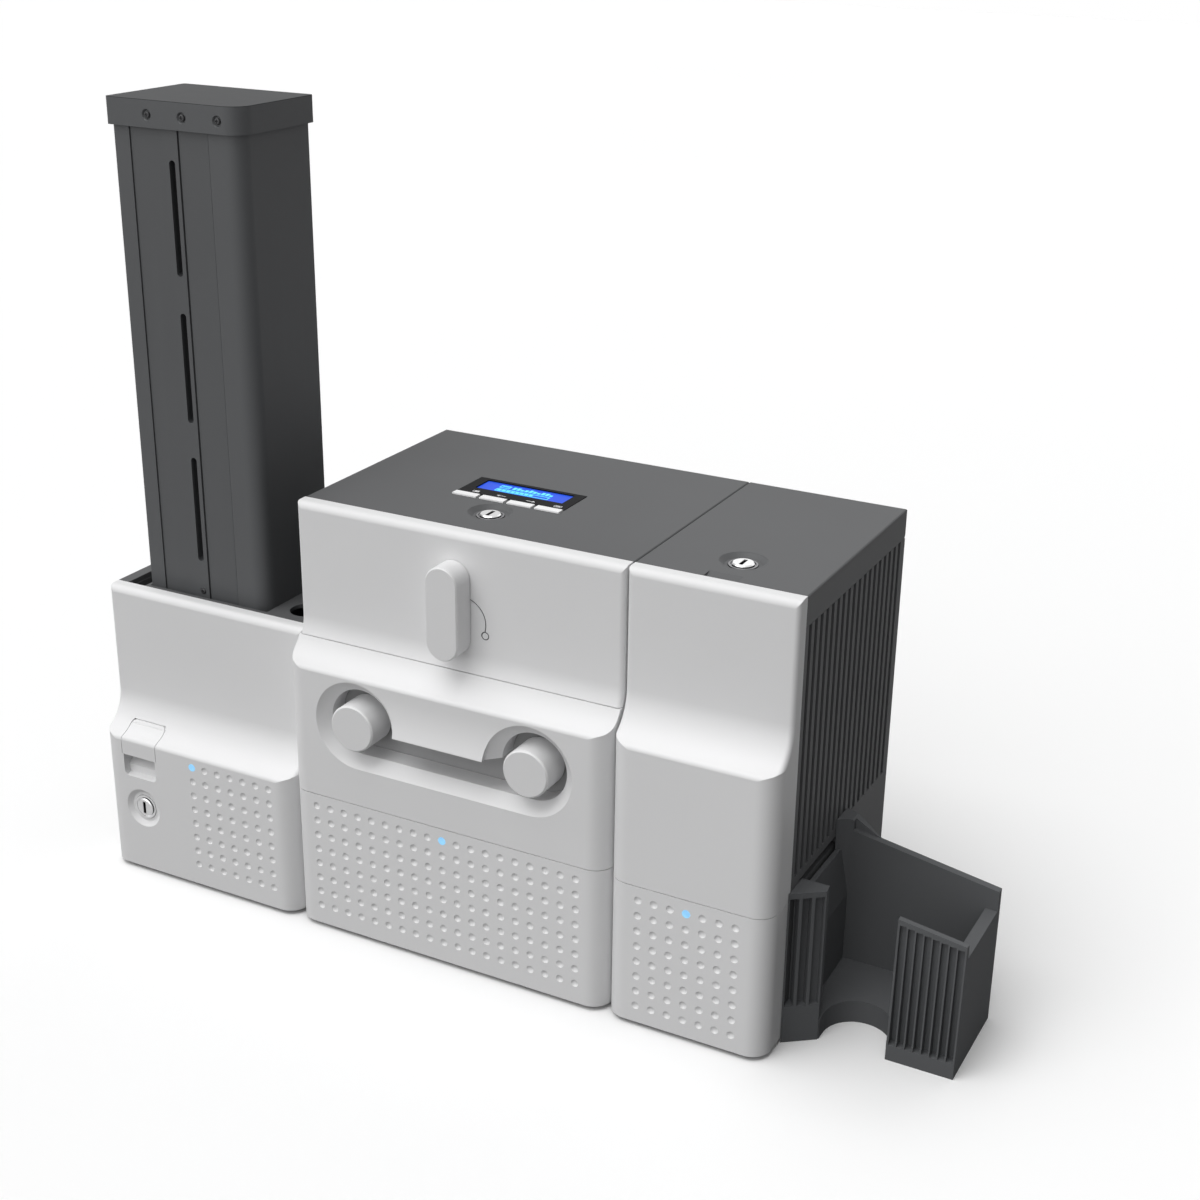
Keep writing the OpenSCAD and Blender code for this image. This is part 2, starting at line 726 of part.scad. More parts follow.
// Upright block with one large rounded corner at the front right
module tower_block(x0, x1, y0, y1, z0, z1, r) {
  difference() {
    box(x0, x1, y0, y1, z0, z1);
    difference() {
      box(x1 - r, x1 + 1, y0 - 1, y0 + r, z0 - 1, z1 + 1);
      rod_z(x1 - r, y0 + r, z0 - 2, z1 + 2, r);
    }
    for (x = [x0, x1], y = [y0, y1])
      translate([x, y, z0 - 1]) rotate([0, 0, 45]) translate([-0.7, -0.7, 0]) cube([1.4, 1.4, z1 - z0 + 2]);
  }
}

panel_x0 = tower_x0 + 12.1;
panel_x1 = tower_x1 - 21.9;
strip_x0 = tower_x0 + 35.7;
strip_x1 = tower_x0 + 47.4;
view_x = tower_x0 + 42.4;

module view_slots(w, y0, y1) {
  top = tower_top - 33.6;
  for (i = [0 : 2]) {
    z1 = top - i * 90;
    box(view_x - w / 2, view_x + w / 2, y0, y1, z1 - 68 + w / 2, z1 - w / 2);
    rod_y(view_x, z1 - w / 2, y0, y1, w / 2);
    rod_y(view_x, z1 - 68 + w / 2, y0, y1, w / 2);
  }
}

module hopper_tower() color([0.33, 0.33, 0.34]) place() {
  low = seat_z + 0.3;
  top = tower_top - 4;
  difference() {
    tower_block(tower_x0, tower_x1, tower_y, tower_y1, low, top, tower_r);
    box(tower_x - mag_half, tower_x + mag_half, card_front - card_clear, card_back + card_clear, low - 1, top + 1);
    // Rebate for the front panel
    box(panel_x0, panel_x1, tower_y - 1, tower_y + 2.6, low - 1, top + 1);
    view_slots(5, tower_y, card_front);
  }
}

module hopper_front_panel() color([0.31, 0.31, 0.32]) place() {
  low = seat_z + 0.3;
  top = tower_top - cap_h - 0.2;
  difference() {
    union() {
      box(panel_x0 + 0.3, panel_x1 - 0.8, tower_y + 0.8, tower_y + 2.4, low, top);
      box(strip_x0, strip_x1, tower_y, tower_y + 1.4, low, top);
    }
    view_slots(4.3, tower_y - 1, tower_y + 4);
    // Fine line along the raised strip
    box(strip_x1 - 0.1, strip_x1 + 0.6, tower_y - 1, tower_y + 1.5, low - 1, top + 1);
    rod_y(view_x, deck_z + 4, tower_y - 1, tower_y + 0.8, 2.2);
  }
}

module hopper_cap() color([0.33, 0.33, 0.34]) place() {
  o = 2.2;
  low = tower_top - cap_h;
  difference() {
    tower_block(tower_x0 - o, tower_x1 + o, tower_y - o, tower_y1 + o, low, tower_top, tower_r + o);
    tower_block(tower_x0 - 0.2, tower_x1 + 0.2, tower_y - 0.2, tower_y1 + 0.2, low - 1, tower_top - 3.8, tower_r);
    for (i = [-1, 0, 1])
      cone_y(tower_x + 7.4 + i * 25.4, low + 7.3, tower_y - o - 0.1, tower_y - o + 1.2, 3.4, 2.4);
  }
}

module card_weight() color([0.62, 0.63, 0.65]) place() {
  z0 = path_z + card_t / 2 + 0.5;
  difference() {
    union() {
      box(tower_x - 42, tower_x + 42, card_y - 26.4, card_y + 26.4, z0, z0 + 14);
      box(tower_x - 8, tower_x + 8, card_y - 18, card_y + 18, z0 + 14, z0 + 30);
    }
    box(tower_x - 9, tower_x + 9, card_y - 12, card_y + 12, z0 + 17, z0 + 25);
  }
}

// Print housing

module printer_chassis() color([0.27, 0.27, 0.28]) place() {
  top = lid_z - 0.3;
  difference() {
    union() {
      box(0, printer_w, shell_y, body_d, foot_h, floor_z);
      box(0, wall, shell_y, body_d, floor_z, top);
      box(printer_w - wall, printer_w, shell_y, body_d, floor_z, top);
      box(0, printer_w, body_d - wall, body_d, floor_z, top);
      lid_ears(0, printer_w);
    }
    for (x = [0, printer_w])
      box(x - wall - 1, x + wall + 1, card_front - 2, card_back + 2, path_z - slot_half, path_z + slot_half);
    box(print_x + 16, print_x + 92, body_d - wall - 1, body_d + 1, 14, 46);
    vents(print_x - 84, print_x + 80, 70, 120);
    vents(print_x - 84, print_x + 80, 135, 185);
  }
}

module print_frame() color([0.7, 0.71, 0.72]) place() {
  x0 = wall + 0.5;
  x1 = printer_w - wall - 0.5;
  top = lever_z + 22;
  win = print_x - 26;
  bed = path_z - card_t / 2;
  difference() {
    union() {
      box(x0, x1, frame_front, frame_front + plate_t, floor_z, top);
      box(x0, x1, frame_back, frame_back + plate_t, floor_z, top);
      // Ties between the plates
      for (x = [x0, x1 - 8])
        box(x, x + 8, frame_front, frame_back + 1, top - 10, top);
      for (x = [x0 + 20, x1 - 32])
        box(x, x + 12, frame_front, frame_back + 1, floor_z, floor_z + 10);
      // Card beds each side of the platen
      box(print_x - 84, print_x - 13, frame_front, frame_back + 1, bed - 2.5, bed - 0.3);
      box(print_x + 13, print_x + 84, frame_front, frame_back + 1, bed - 2.5, bed - 0.3);
      // Rails for the drawer, below and above its side arms
      for (s = [-1, 1], z = [spool_z - 32.5, spool_z - 12.9])
        box(print_x + s * (rail_off - 1.5) - 4, print_x + s * (rail_off - 1.5) + 4, frame_front, frame_back + 1, z, z + 3);
      // Upright rods that guide the head bracket
      for (s = [-1, 1]) {
        rod_z(print_x + s * 11, 106, spool_z + 27, top + 9, 3);
        for (z = [spool_z + 27, top + 4])
          box(print_x + s * 11 - 5, print_x + s * 11 + 5, 101, frame_back + 1, z, z + 5);
        box(print_x + s * 11 - 5, print_x + s * 11 + 5, frame_back, frame_back + plate_t, top - 1, top + 9);
      }
    }
    // Window the drawer passes through
    box(print_x - win, print_x + win, frame_front - 1, frame_front + plate_t + 1, bed - 3, spool_z + 31);
    // Bores
    rod_y(print_x, lever_z, 0, body_d, 5 + running);
    rod_y(print_x, platen_z, 0, body_d, 4 + running);
    for (s = [-1, 1])
      rod_y(print_x + s * feed_off, feed_z, 0, body_d, 3 + running);
    // Lightening holes
    for (x = [print_x - 60, print_x + 20])
      box(x, x + 40, frame_back - 1, frame_back + plate_t + 1, spool_z - 20, spool_z + 20);
    for (x = [print_x - 60, print_x + 20])
      box(x, x + 40, frame_front - 1, frame_back + plate_t + 1, 26, 62);
  }
}

module upper_front_panel() color([0.93, 0.93, 0.93]) place() {
  arc_x = print_x + 6.1;
  arc_z = lever_z - 7.5;
  difference() {
    cover(0, printer_w, drawer_top_z, body_h, body_h, sweep_z);
    rod_y(print_x, lever_z, 0, cover_d, 5.6);
    // Turning mark beside the lever: a fine arc ending in a small ring
    intersection() {
      difference() {
        rod_y(arc_x, arc_z, front_step - 1, front_step + 0.6, 14.8);
        rod_y(arc_x, arc_z, front_step - 2, front_step + 1, 14.2);
      }
      slab_y([[arc_x, arc_z], [arc_x + 20, arc_z - 6], [arc_x + 20, arc_z + 20], [arc_x + 4, arc_z + 20]], front_step - 2, front_step + 2);
    }
    difference() {
      rod_y(arc_x + 14, arc_z - 6.6, front_step - 1, front_step + 0.6, 2.6);
      rod_y(arc_x + 14, arc_z - 6.6, front_step - 2, front_step + 1, 1.9);
    }
  }
}

module lower_front_panel() color([0.93, 0.93, 0.93]) place() {
  difference() {
    cover(0, printer_w, foot_h, low_seam_z - seam, body_h, sweep_z);
    dimples(print_x, grid_half(printer_w), 86.2, 0);
  }
}

module status_lights() color([0.55, 0.8, 1]) place() {
  light(print_x, 86.2);
  light(flipper_x, 84);
}

module main_board() color([0.1, 0.36, 0.2]) place() {
  x0 = print_x - 88;
  x1 = print_x + 88;
  y = body_d - 22;
  box(x0, x1, y, y + 1.6, 60, 150);
  // Chips, capacitors and headers
  box(x0 + 20, x0 + 42, y - 2, y, 90, 112);
  box(x0 + 56, x0 + 70, y - 1.6, y, 96, 110);
  box(x0 + 84, x0 + 94, y - 1.6, y, 70, 90);
  for (i = [0 : 3]) rod_y(x1 - 18 - i * 12, 76, y - 12, y, 4.5);
  for (i = [0 : 5]) box(x0 + 8 + i * 26, x0 + 28 + i * 26, y - 8, y, 138, 144);
  // Spacers to the back wall
  for (x = [x0 + 5, x1 - 5], z = [65, 145]) rod_y(x, z, y + 1.6, body_d - wall, 3);
}

module rear_sockets() color([0.12, 0.12, 0.13]) place() {
  x = print_x + 16.3;
  y0 = body_d - 5.5;
  difference() {
    union() {
      box(x, x + 75.4, y0, y0 + 2.5, 14.3, 45.7);
      box(x + 2, x + 31, y0 - 18, y0 + 1, 18, 40);
      box(x + 34, x + 49, y0 - 4, y0 + 1, 18, 42);
      box(x + 52, x + 73, y0 - 14, y0 + 1, 18, 42);
      box(x, x + 75.4, y0 - 2, y0 + 2.5, 11, 14.3);
      box(x, x + 75.4, y0 - 2, y0 + 0.5, floor_z, 11);
    }
    // Mains inlet with three blades
    difference() {
      box(x + 4.5, x + 28.5, y0 - 15, y0 + 4, 20.5, 37.5);
      for (i = [0 : 2]) box(x + 9 + i * 6.5, x + 11 + i * 6.5, y0 - 16, y0 - 2, 26 - (i == 1 ? -3 : 0), 32 + (i == 1 ? 3 : 0));
    }
    // Rocker opening
    box(x + 35.5, x + 47.5, y0 - 3, y0 + 4, 20, 40);
    // Square data port and network port
    box(x + 54, x + 62, y0 - 12, y0 + 4, 24, 32);
    box(x + 64, x + 72, y0 - 12, y0 + 4, 21, 35);
  }
}

module power_switch() color([0.08, 0.08, 0.09]) place() {
  x = print_x + 16.3;
  y0 = body_d - 5.5;
  slab_x([[y0 + 0.2, 21], [y0 + 2.6, 21], [y0 + 2.2, 30], [y0 + 4.2, 39], [y0 + 1.2, 39]], x + 36, x + 47);
  rod_x(y0 + 0.5, 30, x + 36, x + 47, 1.5);
}

module hinge_pins() color([0.72, 0.73, 0.75]) place() {
  rod_z(door_x, door_y, lug_z[0] + 0.5, arm_z[0] + arm_t, 2.5);
  rod_z(door_x, door_y, arm_z[1], lug_z[1] + 4.5, 2.5);
  for (x = [8, printer_w - 14, rx0 + 8, rx1 - 14])
    rod_x(hinge_y, hinge_z, x - 4, x + 10, lid_pin_r);
}

module printer_lid() color([0.36, 0.36, 0.37]) place() {
  difference() {
    union() {
      lid_shell(0, printer_w, 0, lid_over);
      rod_z(print_x, printer_lock_y, body_h - 10, body_h - 1, dish_r + 1.6);
      // Shelf under the display
      box(bezel_x - bezel_half, bezel_x + bezel_half, bezel_y0, bezel_y1, body_h - 7, body_h - 1);
    }
    translate([print_x, printer_lock_y, body_h]) lock_seat();
    // Bezel recess, display room and button holes
    box(bezel_x - bezel_half, bezel_x + bezel_half, bezel_y0, bezel_y1, body_h - 1.5, body_h + 1);
    box(bezel_x - window_half - 1.5, bezel_x + window_half + 1.5, window_y0 - 1.5, window_y1 + 1.5, body_h - 8, body_h);
    for (i = [0 : 3])
      box(button_x(i) - button_w / 2 - 0.3, button_x(i) + button_w / 2 + 0.3, button_y - button_d / 2 - 0.3, button_y + button_d / 2 + 0.3, body_h - 9, body_h + 1);
  }
}

module display_bezel() color([0.03, 0.03, 0.035]) place() {
  difference() {
    box(bezel_x - bezel_half + 0.2, bezel_x + bezel_half - 0.2, bezel_y0 + 0.2, bezel_y1 - 0.2, body_h - 1.4, body_h + 0.3);
    box(bezel_x - window_half, bezel_x + window_half, window_y0, window_y1, body_h - 2, body_h + 1);
  }
}

module display_screen() color([0.15, 0.35, 0.9]) place() {
  box(bezel_x - window_half - 1.2, bezel_x + window_half + 1.2, window_y0 - 1.2, window_y1 + 1.2, body_h - 6.5, body_h - 1.6);
  box(bezel_x - window_half + 0.2, bezel_x + window_half - 0.2, window_y0 + 0.2, window_y1 - 0.2, body_h - 2, body_h - 0.4);
}

module printer_lock_barrel() color([0.3, 0.3, 0.31]) place()
  translate([print_x, printer_lock_y, body_h]) lock_barrel_shape();

module printer_lock_plug() color([0.8, 0.81, 0.83]) place()
  translate([print_x, printer_lock_y, body_h]) lock_plug_shape();

function button_x(i) = bezel_x + (i - 1.5) * button_pitch;

module menu_button(i) color([0.95, 0.95, 0.95]) place() {
  x = button_x(i);
  box(x - button_w / 2, x + button_w / 2, button_y - button_d / 2, button_y + button_d / 2, body_h - 4, body_h + button_up);
  box(x - 1.5, x + 1.5, button_y - 1.5, button_y + 1.5, body_h - 8, body_h - 3);
}

module button_1() menu_button(0);
module button_2() menu_button(1);
module button_3() menu_button(2);
module button_4() menu_button(3);

// Head lever, cam and print head

module head_lever() color([0.93, 0.93, 0.93]) place() {
  r = lever_w / 2;
  off = lever_l / 2 - r;
  y1 = front_step - 0.5;
  difference() {
    union() {
      for (s = [-1, 1]) {
        rod_y(print_x, lever_z + s * off, lever_y + 1, y1, r);
        cone_y(print_x, lever_z + s * off, lever_y, lever_y + 1, r - 0.8, r);
      }
      box(print_x - r, print_x + r, lever_y + 1, y1, lever_z - off, lever_z + off);
      translate([0, 0, lever_z - off]) slab_z([[print_x - r + 0.8, lever_y], [print_x + r - 0.8, lever_y], [print_x + r, lever_y + 1], [print_x - r, lever_y + 1]], 0, 2 * off);
    }
    rod_y(print_x, lever_z, y1 - 9, y1 + 1, 5.02);
  }
}

// Cam outline: the rise lies on the left so that a right turn lifts the head
cam_points = concat(
  [for (i = [0 : 36]) let (a = 90 + i * 2.5, r = cam_low + cam_rate * i * 2.5) [r * cos(a), r * sin(a)]],
  [for (i = [1 : 8]) let (a = 180 + i * 5, r = cam_low + head_lift) [r * cos(a), r * sin(a)]],
  [for (i = [1 : 26]) let (a = 220 + i * 8, r = cam_low + head_lift * max(0, 1 - i / 6)) [r * cos(a), r * sin(a)]]
);

module cam_shaft() color([0.66, 0.67, 0.69]) place() {
  rod_y(print_x, lever_z, front_step - 9, frame_back + 6, 5);
  rod_y(print_x, lever_z, frame_front - 4, frame_front - 1, 8);
  for (y = [50, 90])
    translate([print_x, y + 6, lever_z]) rotate([90, 0, 0]) linear_extrude(6) polygon(cam_points);
}

module head_bracket() color([0.74, 0.75, 0.76]) place() {
  tip = lever_z + cam_low + 0.3;
  top = tip + 6;
  difference() {
    union() {
      for (s = [-1, 1])
        box(print_x + s * 18.5 - 1.5, print_x + s * 18.5 + 1.5, card_front + 1, card_back - 1, path_z + 10, top + 3);
      box(print_x - head_half, print_x + head_half, card_front + 1, card_back - 1, top, top + 3);
      box(print_x - 17, print_x + 17, card_back - 2, 111, top, top + 3);
      for (y = [49, 89])
        slab_y([[print_x, tip], [print_x + 6, top + 0.5], [print_x - 6, top + 0.5]], y, y + 8);
    }
    for (s = [-1, 1])
      rod_z(print_x + s * 11, 106, top - 1, top + 4, 3.3);
    box(print_x - 30, print_x + 30, card_front + 10, card_back - 10, path_z + 34, lever_z - 14);
  }
}

module print_head() color([0.5, 0.51, 0.53]) place() {
  low = path_z + card_t / 2 + 1;
  difference() {
    union() {
      box(print_x - 5, print_x + 5, card_front - 1, card_back + 1, low, low + 5);
      box(print_x - 16.6, print_x + 16.6, card_front, card_back, low + 5, low + 26);
    }
    for (i = [0 : 3])
      box(print_x - 14 + i * 7.6, print_x - 9 + i * 7.6, card_front - 1, card_back + 1, low + 11, low + 27);
  }
}

// Ribbon drawer

spool_x = [print_x - spool_off, print_x + spool_off];

module ribbon_drawer() color([0.93, 0.93, 0.93]) place() {
  z0 = spool_z - lobe_r;
  slot_low = spool_z - lobe_hole_r;
  cone_d = lobe_r - lobe_hole_r;
  lip_r = 74;
  lip_top = spool_z + 24.5;
  lip_low = spool_z + 0.6;
  well_y = 19.6;
  difference() {
    union() {
      cover(0, printer_w, low_seam_z, drawer_top_z - seam, body_h, sweep_z);
      // Thick surround that carries the sloping edge of the recess
      difference() {
        union() {
          for (x = spool_x) rod_y(x, spool_z, wall - 0.5, cone_d + 2, lobe_r + 1.5);
          for (x = spool_x) rod_y(x, spool_z, wall, well_y, lobe_hole_r + 1.5);
          box(spool_x[0], spool_x[1], wall - 0.5, cone_d + 2, z0 - 1.5, spool_z);
        }
        for (x = spool_x) rod_y(x, spool_z, wall - 1, well_y + 1, lobe_hole_r);
        box(spool_x[0], spool_x[1], wall - 1, well_y + 1, slot_low, lip_low);
      }
      // Pull lip that leans forward between the knobs
      intersection() {
        box(spool_x[0] + 8, spool_x[1] - 8, knob_y + 0.2, 9, lip_low, lip_top);
        difference() {
          box(spool_x[0] + 8, spool_x[1] - 8, knob_y, 9, lip_low, lip_top);
          rod_x(-lip_r, lip_top, spool_x[0], spool_x[1], lip_r);
          difference() {
            box(spool_x[0], spool_x[1], knob_y, 10, lip_low - 1, lip_top - 3);
            rod_x(-lip_r, lip_top, spool_x[0] - 1, spool_x[1] + 1, lip_r + 3.2);
          }
        }
      }
    }
    // Sloping edge and holes
    for (x = spool_x)
      translate([x, 0, spool_z]) rotate([90, 0, 0]) rotate_extrude()
        polygon([[0, 6], [lobe_r + 0.3, 6], [lobe_r + 0.3, 0.3], [lobe_hole_r, -cone_d], [lobe_hole_r, -30], [0, -30]]);
    slab_x([[-0.3, z0 - 0.3], [cone_d, slot_low], [9.5, slot_low], [9.5, lip_low], [-0.3, lip_low]], spool_x[0], spool_x[1]);
    box(spool_x[0] + lobe_r + 1.8, spool_x[1] - lobe_r - 1.8, 3.2, 17.2, slot_low, spool_z + 20);
  }
  // Shelf at the foot of the slot
  box(spool_x[0] + 5, spool_x[1] - 5, cone_d + 1, well_y, slot_low - 1.5, slot_low);
  // Bosses behind the lip that carry the ribbon frame
  for (s = [-1, 1])
    rod_y(print_x + s * 25, spool_z + 14, 0.8, 20, 3.4);
}

module ribbon_frame() color([0.2, 0.2, 0.21]) place() {
  low = spool_z - 29.1;
  high = spool_z - 13.3;
  inner = bar_off - 3;
  outer = rail_off - 6;
  difference() {
    union() {
      // Front plate behind the drawer front
      box(print_x - rail_off, print_x + rail_off, 20, 23, path_z + 5, spool_z + 20);
      for (s = [-1, 1]) {
        // Side arm, bearing plate at the back and film guide bar
        box(print_x + s * (rail_off - 1.5) - 1.5, print_x + s * (rail_off - 1.5) + 1.5, 20, 112, low, high);
        box(print_x + s * (rail_off - 4) - 4, print_x + s * (rail_off - 4) + 4, 109, 112, low, high);
        box(print_x + s * (outer + inner) / 2 - (outer - inner) / 2, print_x + s * (outer + inner) / 2 + (outer - inner) / 2, 109, 112, path_z + 1.2, spool_z + 18);
        rod_y(print_x + s * bar_off, bar_z, 22, 110, bar_r);
      }
    }
    for (x = spool_x) rod_y(x, spool_z, 10, 120, core_r + running);
  }
}

// Tangent path of the film from a roll to a guide bar
module film_leg(s, roll_r) {
  cx = print_x + s * spool_off;
  bx = print_x + s * bar_off;
  dx = bx - cx;
  dz = bar_z - spool_z;
  d = sqrt(dx * dx + dz * dz);
  ra = roll_r + 0.1;
  rb = bar_r + 0.1;
  base = atan2(dz, dx);
  b = base - s * acos((ra + rb) / d);
  p = [cx + ra * cos(b), spool_z + ra * sin(b)];
  q = [bx - rb * cos(b), bar_z - rb * sin(b)];
  t = film_t / 2;
  n = [cos(b) * t, sin(b) * t];
  slab_y([p - n, p + n, q + n, q - n], card_front + 2, card_back - 2);
}

module ribbon_film() color([0.75, 0.62, 0.15]) place() {
  film_leg(-1, supply_r);
  film_leg(1, takeup_r);
  z = bar_z - bar_r - 0.1;
  box(print_x - bar_off - bar_r + 0.2, print_x + bar_off + bar_r - 0.2, card_front + 2, card_back - 2, z - film_t, z);
}

module spool(x) {
  difference() {
    union() {
      // Knob with a softened rim
      cone_y(x, spool_z, knob_y, knob_y + 1, knob_r - 1, knob_r);
      rod_y(x, spool_z, knob_y + 1, 16, knob_r);
      rod_y(x, spool_z, 15, 113, core_r);
      for (y = [card_front - 3.5, card_back + 1.5])
        rod_y(x, spool_z, y, y + 2, flange_r);
    }
  }
}

module ribbon_roll(x, r) {
  difference() {
    rod_y(x, spool_z, card_front - 1, card_back + 1, r);
    rod_y(x, spool_z, card_front - 2, card_back + 2, core_r + 0.02);
  }
}

module supply_spool() color([0.93, 0.93, 0.93]) place() spool(spool_x[0]);
module takeup_spool() color([0.93, 0.93, 0.93]) place() spool(spool_x[1]);
module supply_roll() color([0.8, 0.68, 0.15]) place() ribbon_roll(spool_x[0], supply_r);
module takeup_roll() color([0.25, 0.12, 0.3]) place() ribbon_roll(spool_x[1], takeup_r);

module path_roller(x, z, r, shaft) {
  rod_y(x, z, frame_front - 2, frame_back + 8, shaft);
  rod_y(x, z, card_front + 1, card_back - 1, r);
}

module platen_roller() color([0.16, 0.16, 0.17]) place() path_roller(print_x, platen_z, platen_r, 4);
module inlet_roller() color([0.16, 0.16, 0.17]) place() path_roller(print_x - feed_off, feed_z, feed_r, 3);
module outlet_roller() color([0.16, 0.16, 0.17]) place() path_roller(print_x + feed_off, feed_z, feed_r, 3);

// Turn-over housing

module flipper_chassis() color([0.27, 0.27, 0.28]) place() {
  top = lid_z - 0.3;
  difference() {
    union() {
      box(rx0, rx1 - 5.2, shell_y, body_d, foot_h, floor_z);
      box(rx0, rx0 + wall, shell_y, body_d, floor_z, top);
      box(rx0, rx1 - 5.2, body_d - wall, body_d, floor_z, top);
      lid_ears(rx0, rx1);
      docking(rx0 - module_gap + 0.3, rx0 + 1);
    }
    box(rx0 - 1, rx0 + wall + 1, card_front - 2, card_back + 2, path_z - slot_half, path_z + slot_half);
    vents(rx0 + 18, rx1 - 18, 60, 190);
    box(rx1 - 5.2, rx1 + 1, hinge_y - 6, body_d + 1, 0, top);
  }
}

module flipper_side_panel() color([0.24, 0.24, 0.25]) place() {
  top = lid_z - 0.3;
  difference() {
    box(rx1 - 5, rx1, shell_y, body_d, foot_h, top);
    for (i = [0 : 17])
      box(rx1 - 2.5, rx1 + 1, shell_y + 4.3 + i * 8.24, shell_y + 8.5 + i * 8.24, 104.3, top + 1);
    // Card exit
    box(rx1 - 6, rx1 + 1, card_front - 2, card_back + 2, path_z - slot_half, path_z + slot_half);
    // Shallow relief round the exit
    box(rx1 - 1.5, rx1 + 1, card_front - 6, card_back + 6, path_z - 8, path_z + 4);
  }
}

module flipper_front_panel() color([0.93, 0.93, 0.93]) place()
  cover(rx0, rx1, flipper_seam_z, body_h, body_h, sweep_z);

module flipper_lower_panel() color([0.93, 0.93, 0.93]) place() {
  difference() {
    cover(rx0, rx1, foot_h, flipper_seam_z - seam, body_h, sweep_z);
    dimples(flipper_x, grid_half(flipper_w), 84, 0);
  }
}

module flipper_lid() color([0.36, 0.36, 0.37]) place() {
  difference() {
    union() {
      lid_shell(rx0, rx1, lid_over, 0);
      rod_z(flipper_x, printer_lock_y, body_h - 10, body_h - 1, dish_r + 1.6);
      box(flipper_x - 11, flipper_x + 11, shell_y, shell_y + 10, body_h - 5, body_h - 1);
    }
    translate([flipper_x, printer_lock_y, body_h]) lock_seat();
    // Finger notch at the front edge
    slab_x([[shell_y - 1, body_h - 2.6], [shell_y + 8.4, body_h], [shell_y + 8.4, body_h + 1], [shell_y - 1, body_h + 1]],
      flipper_x - 9.8, flipper_x + 9.8);
  }
}

module flipper_lock_barrel() color([0.3, 0.3, 0.31]) place()
  translate([flipper_x, printer_lock_y, body_h]) lock_barrel_shape();

module flipper_lock_plug() color([0.8, 0.81, 0.83]) place()
  translate([flipper_x, printer_lock_y, body_h]) lock_plug_shape();

module flipper_frame() color([0.7, 0.71, 0.72]) place() {
  x0 = rx0 + wall + 0.5;
  x1 = rx1 - 5.5;
  difference() {
    union() {
      box(x0, x1, frame_front + 3, frame_front + 6, floor_z, path_z + drum_r + 16);
      box(x0, x1, card_back + 9, card_back + 12, floor_z, path_z + drum_r + 16);
      for (x = [x0, x1 - 6]) {
        box(x, x + 6, frame_front + 3, card_back + 12, path_z + drum_r + 10, path_z + drum_r + 16);
        box(x, x + 6, frame_front + 3, card_back + 12, floor_z, floor_z + 8);
      }
    }
    rod_y(flipper_x, path_z, 20, 130, 5 + running);
    for (x = [x0 + 14, x1 - 38])
      box(x, x + 24, 20, 130, 18, 50);
  }
}

module flipper_drum() color([0.78, 0.78, 0.76]) place() {
  c = card_t / 2 + 1.2;
  difference() {
    union() {
      for (y = [card_front - 3.5, card_back + 0.8])
        rod_y(flipper_x, path_z, y, y + 3, drum_r);
      for (s = [-1, 1])
        box(flipper_x - 30, flipper_x + 30, card_front - 1, card_back + 1.2, path_z + s * (c + 1) - 1, path_z + s * (c + 1) + 1);
      rod_y(flipper_x, path_z, frame_front + 1, card_front - 3, 5);
      rod_y(flipper_x, path_z, card_back + 3, card_back + 18, 5);
      // Pinch roller covers on the channel
      for (x = [flipper_x - 24, flipper_x + 24], s = [-1, 1])
        rod_y(x, path_z + s * 8.5, card_front - 1, card_back + 1.2, 5.5);
    }
    for (y = [card_front - 4, card_back + 0.5], a = [45, 135, 225, 315])
      rod_y(flipper_x + 22 * cos(a), path_z + 22 * sin(a), y, y + 4, 6.5);
    box(flipper_x - 40, flipper_x + 40, card_front - 0.5, card_back + 0.8, path_z - c, path_z + c);
  }
}

// Output tray

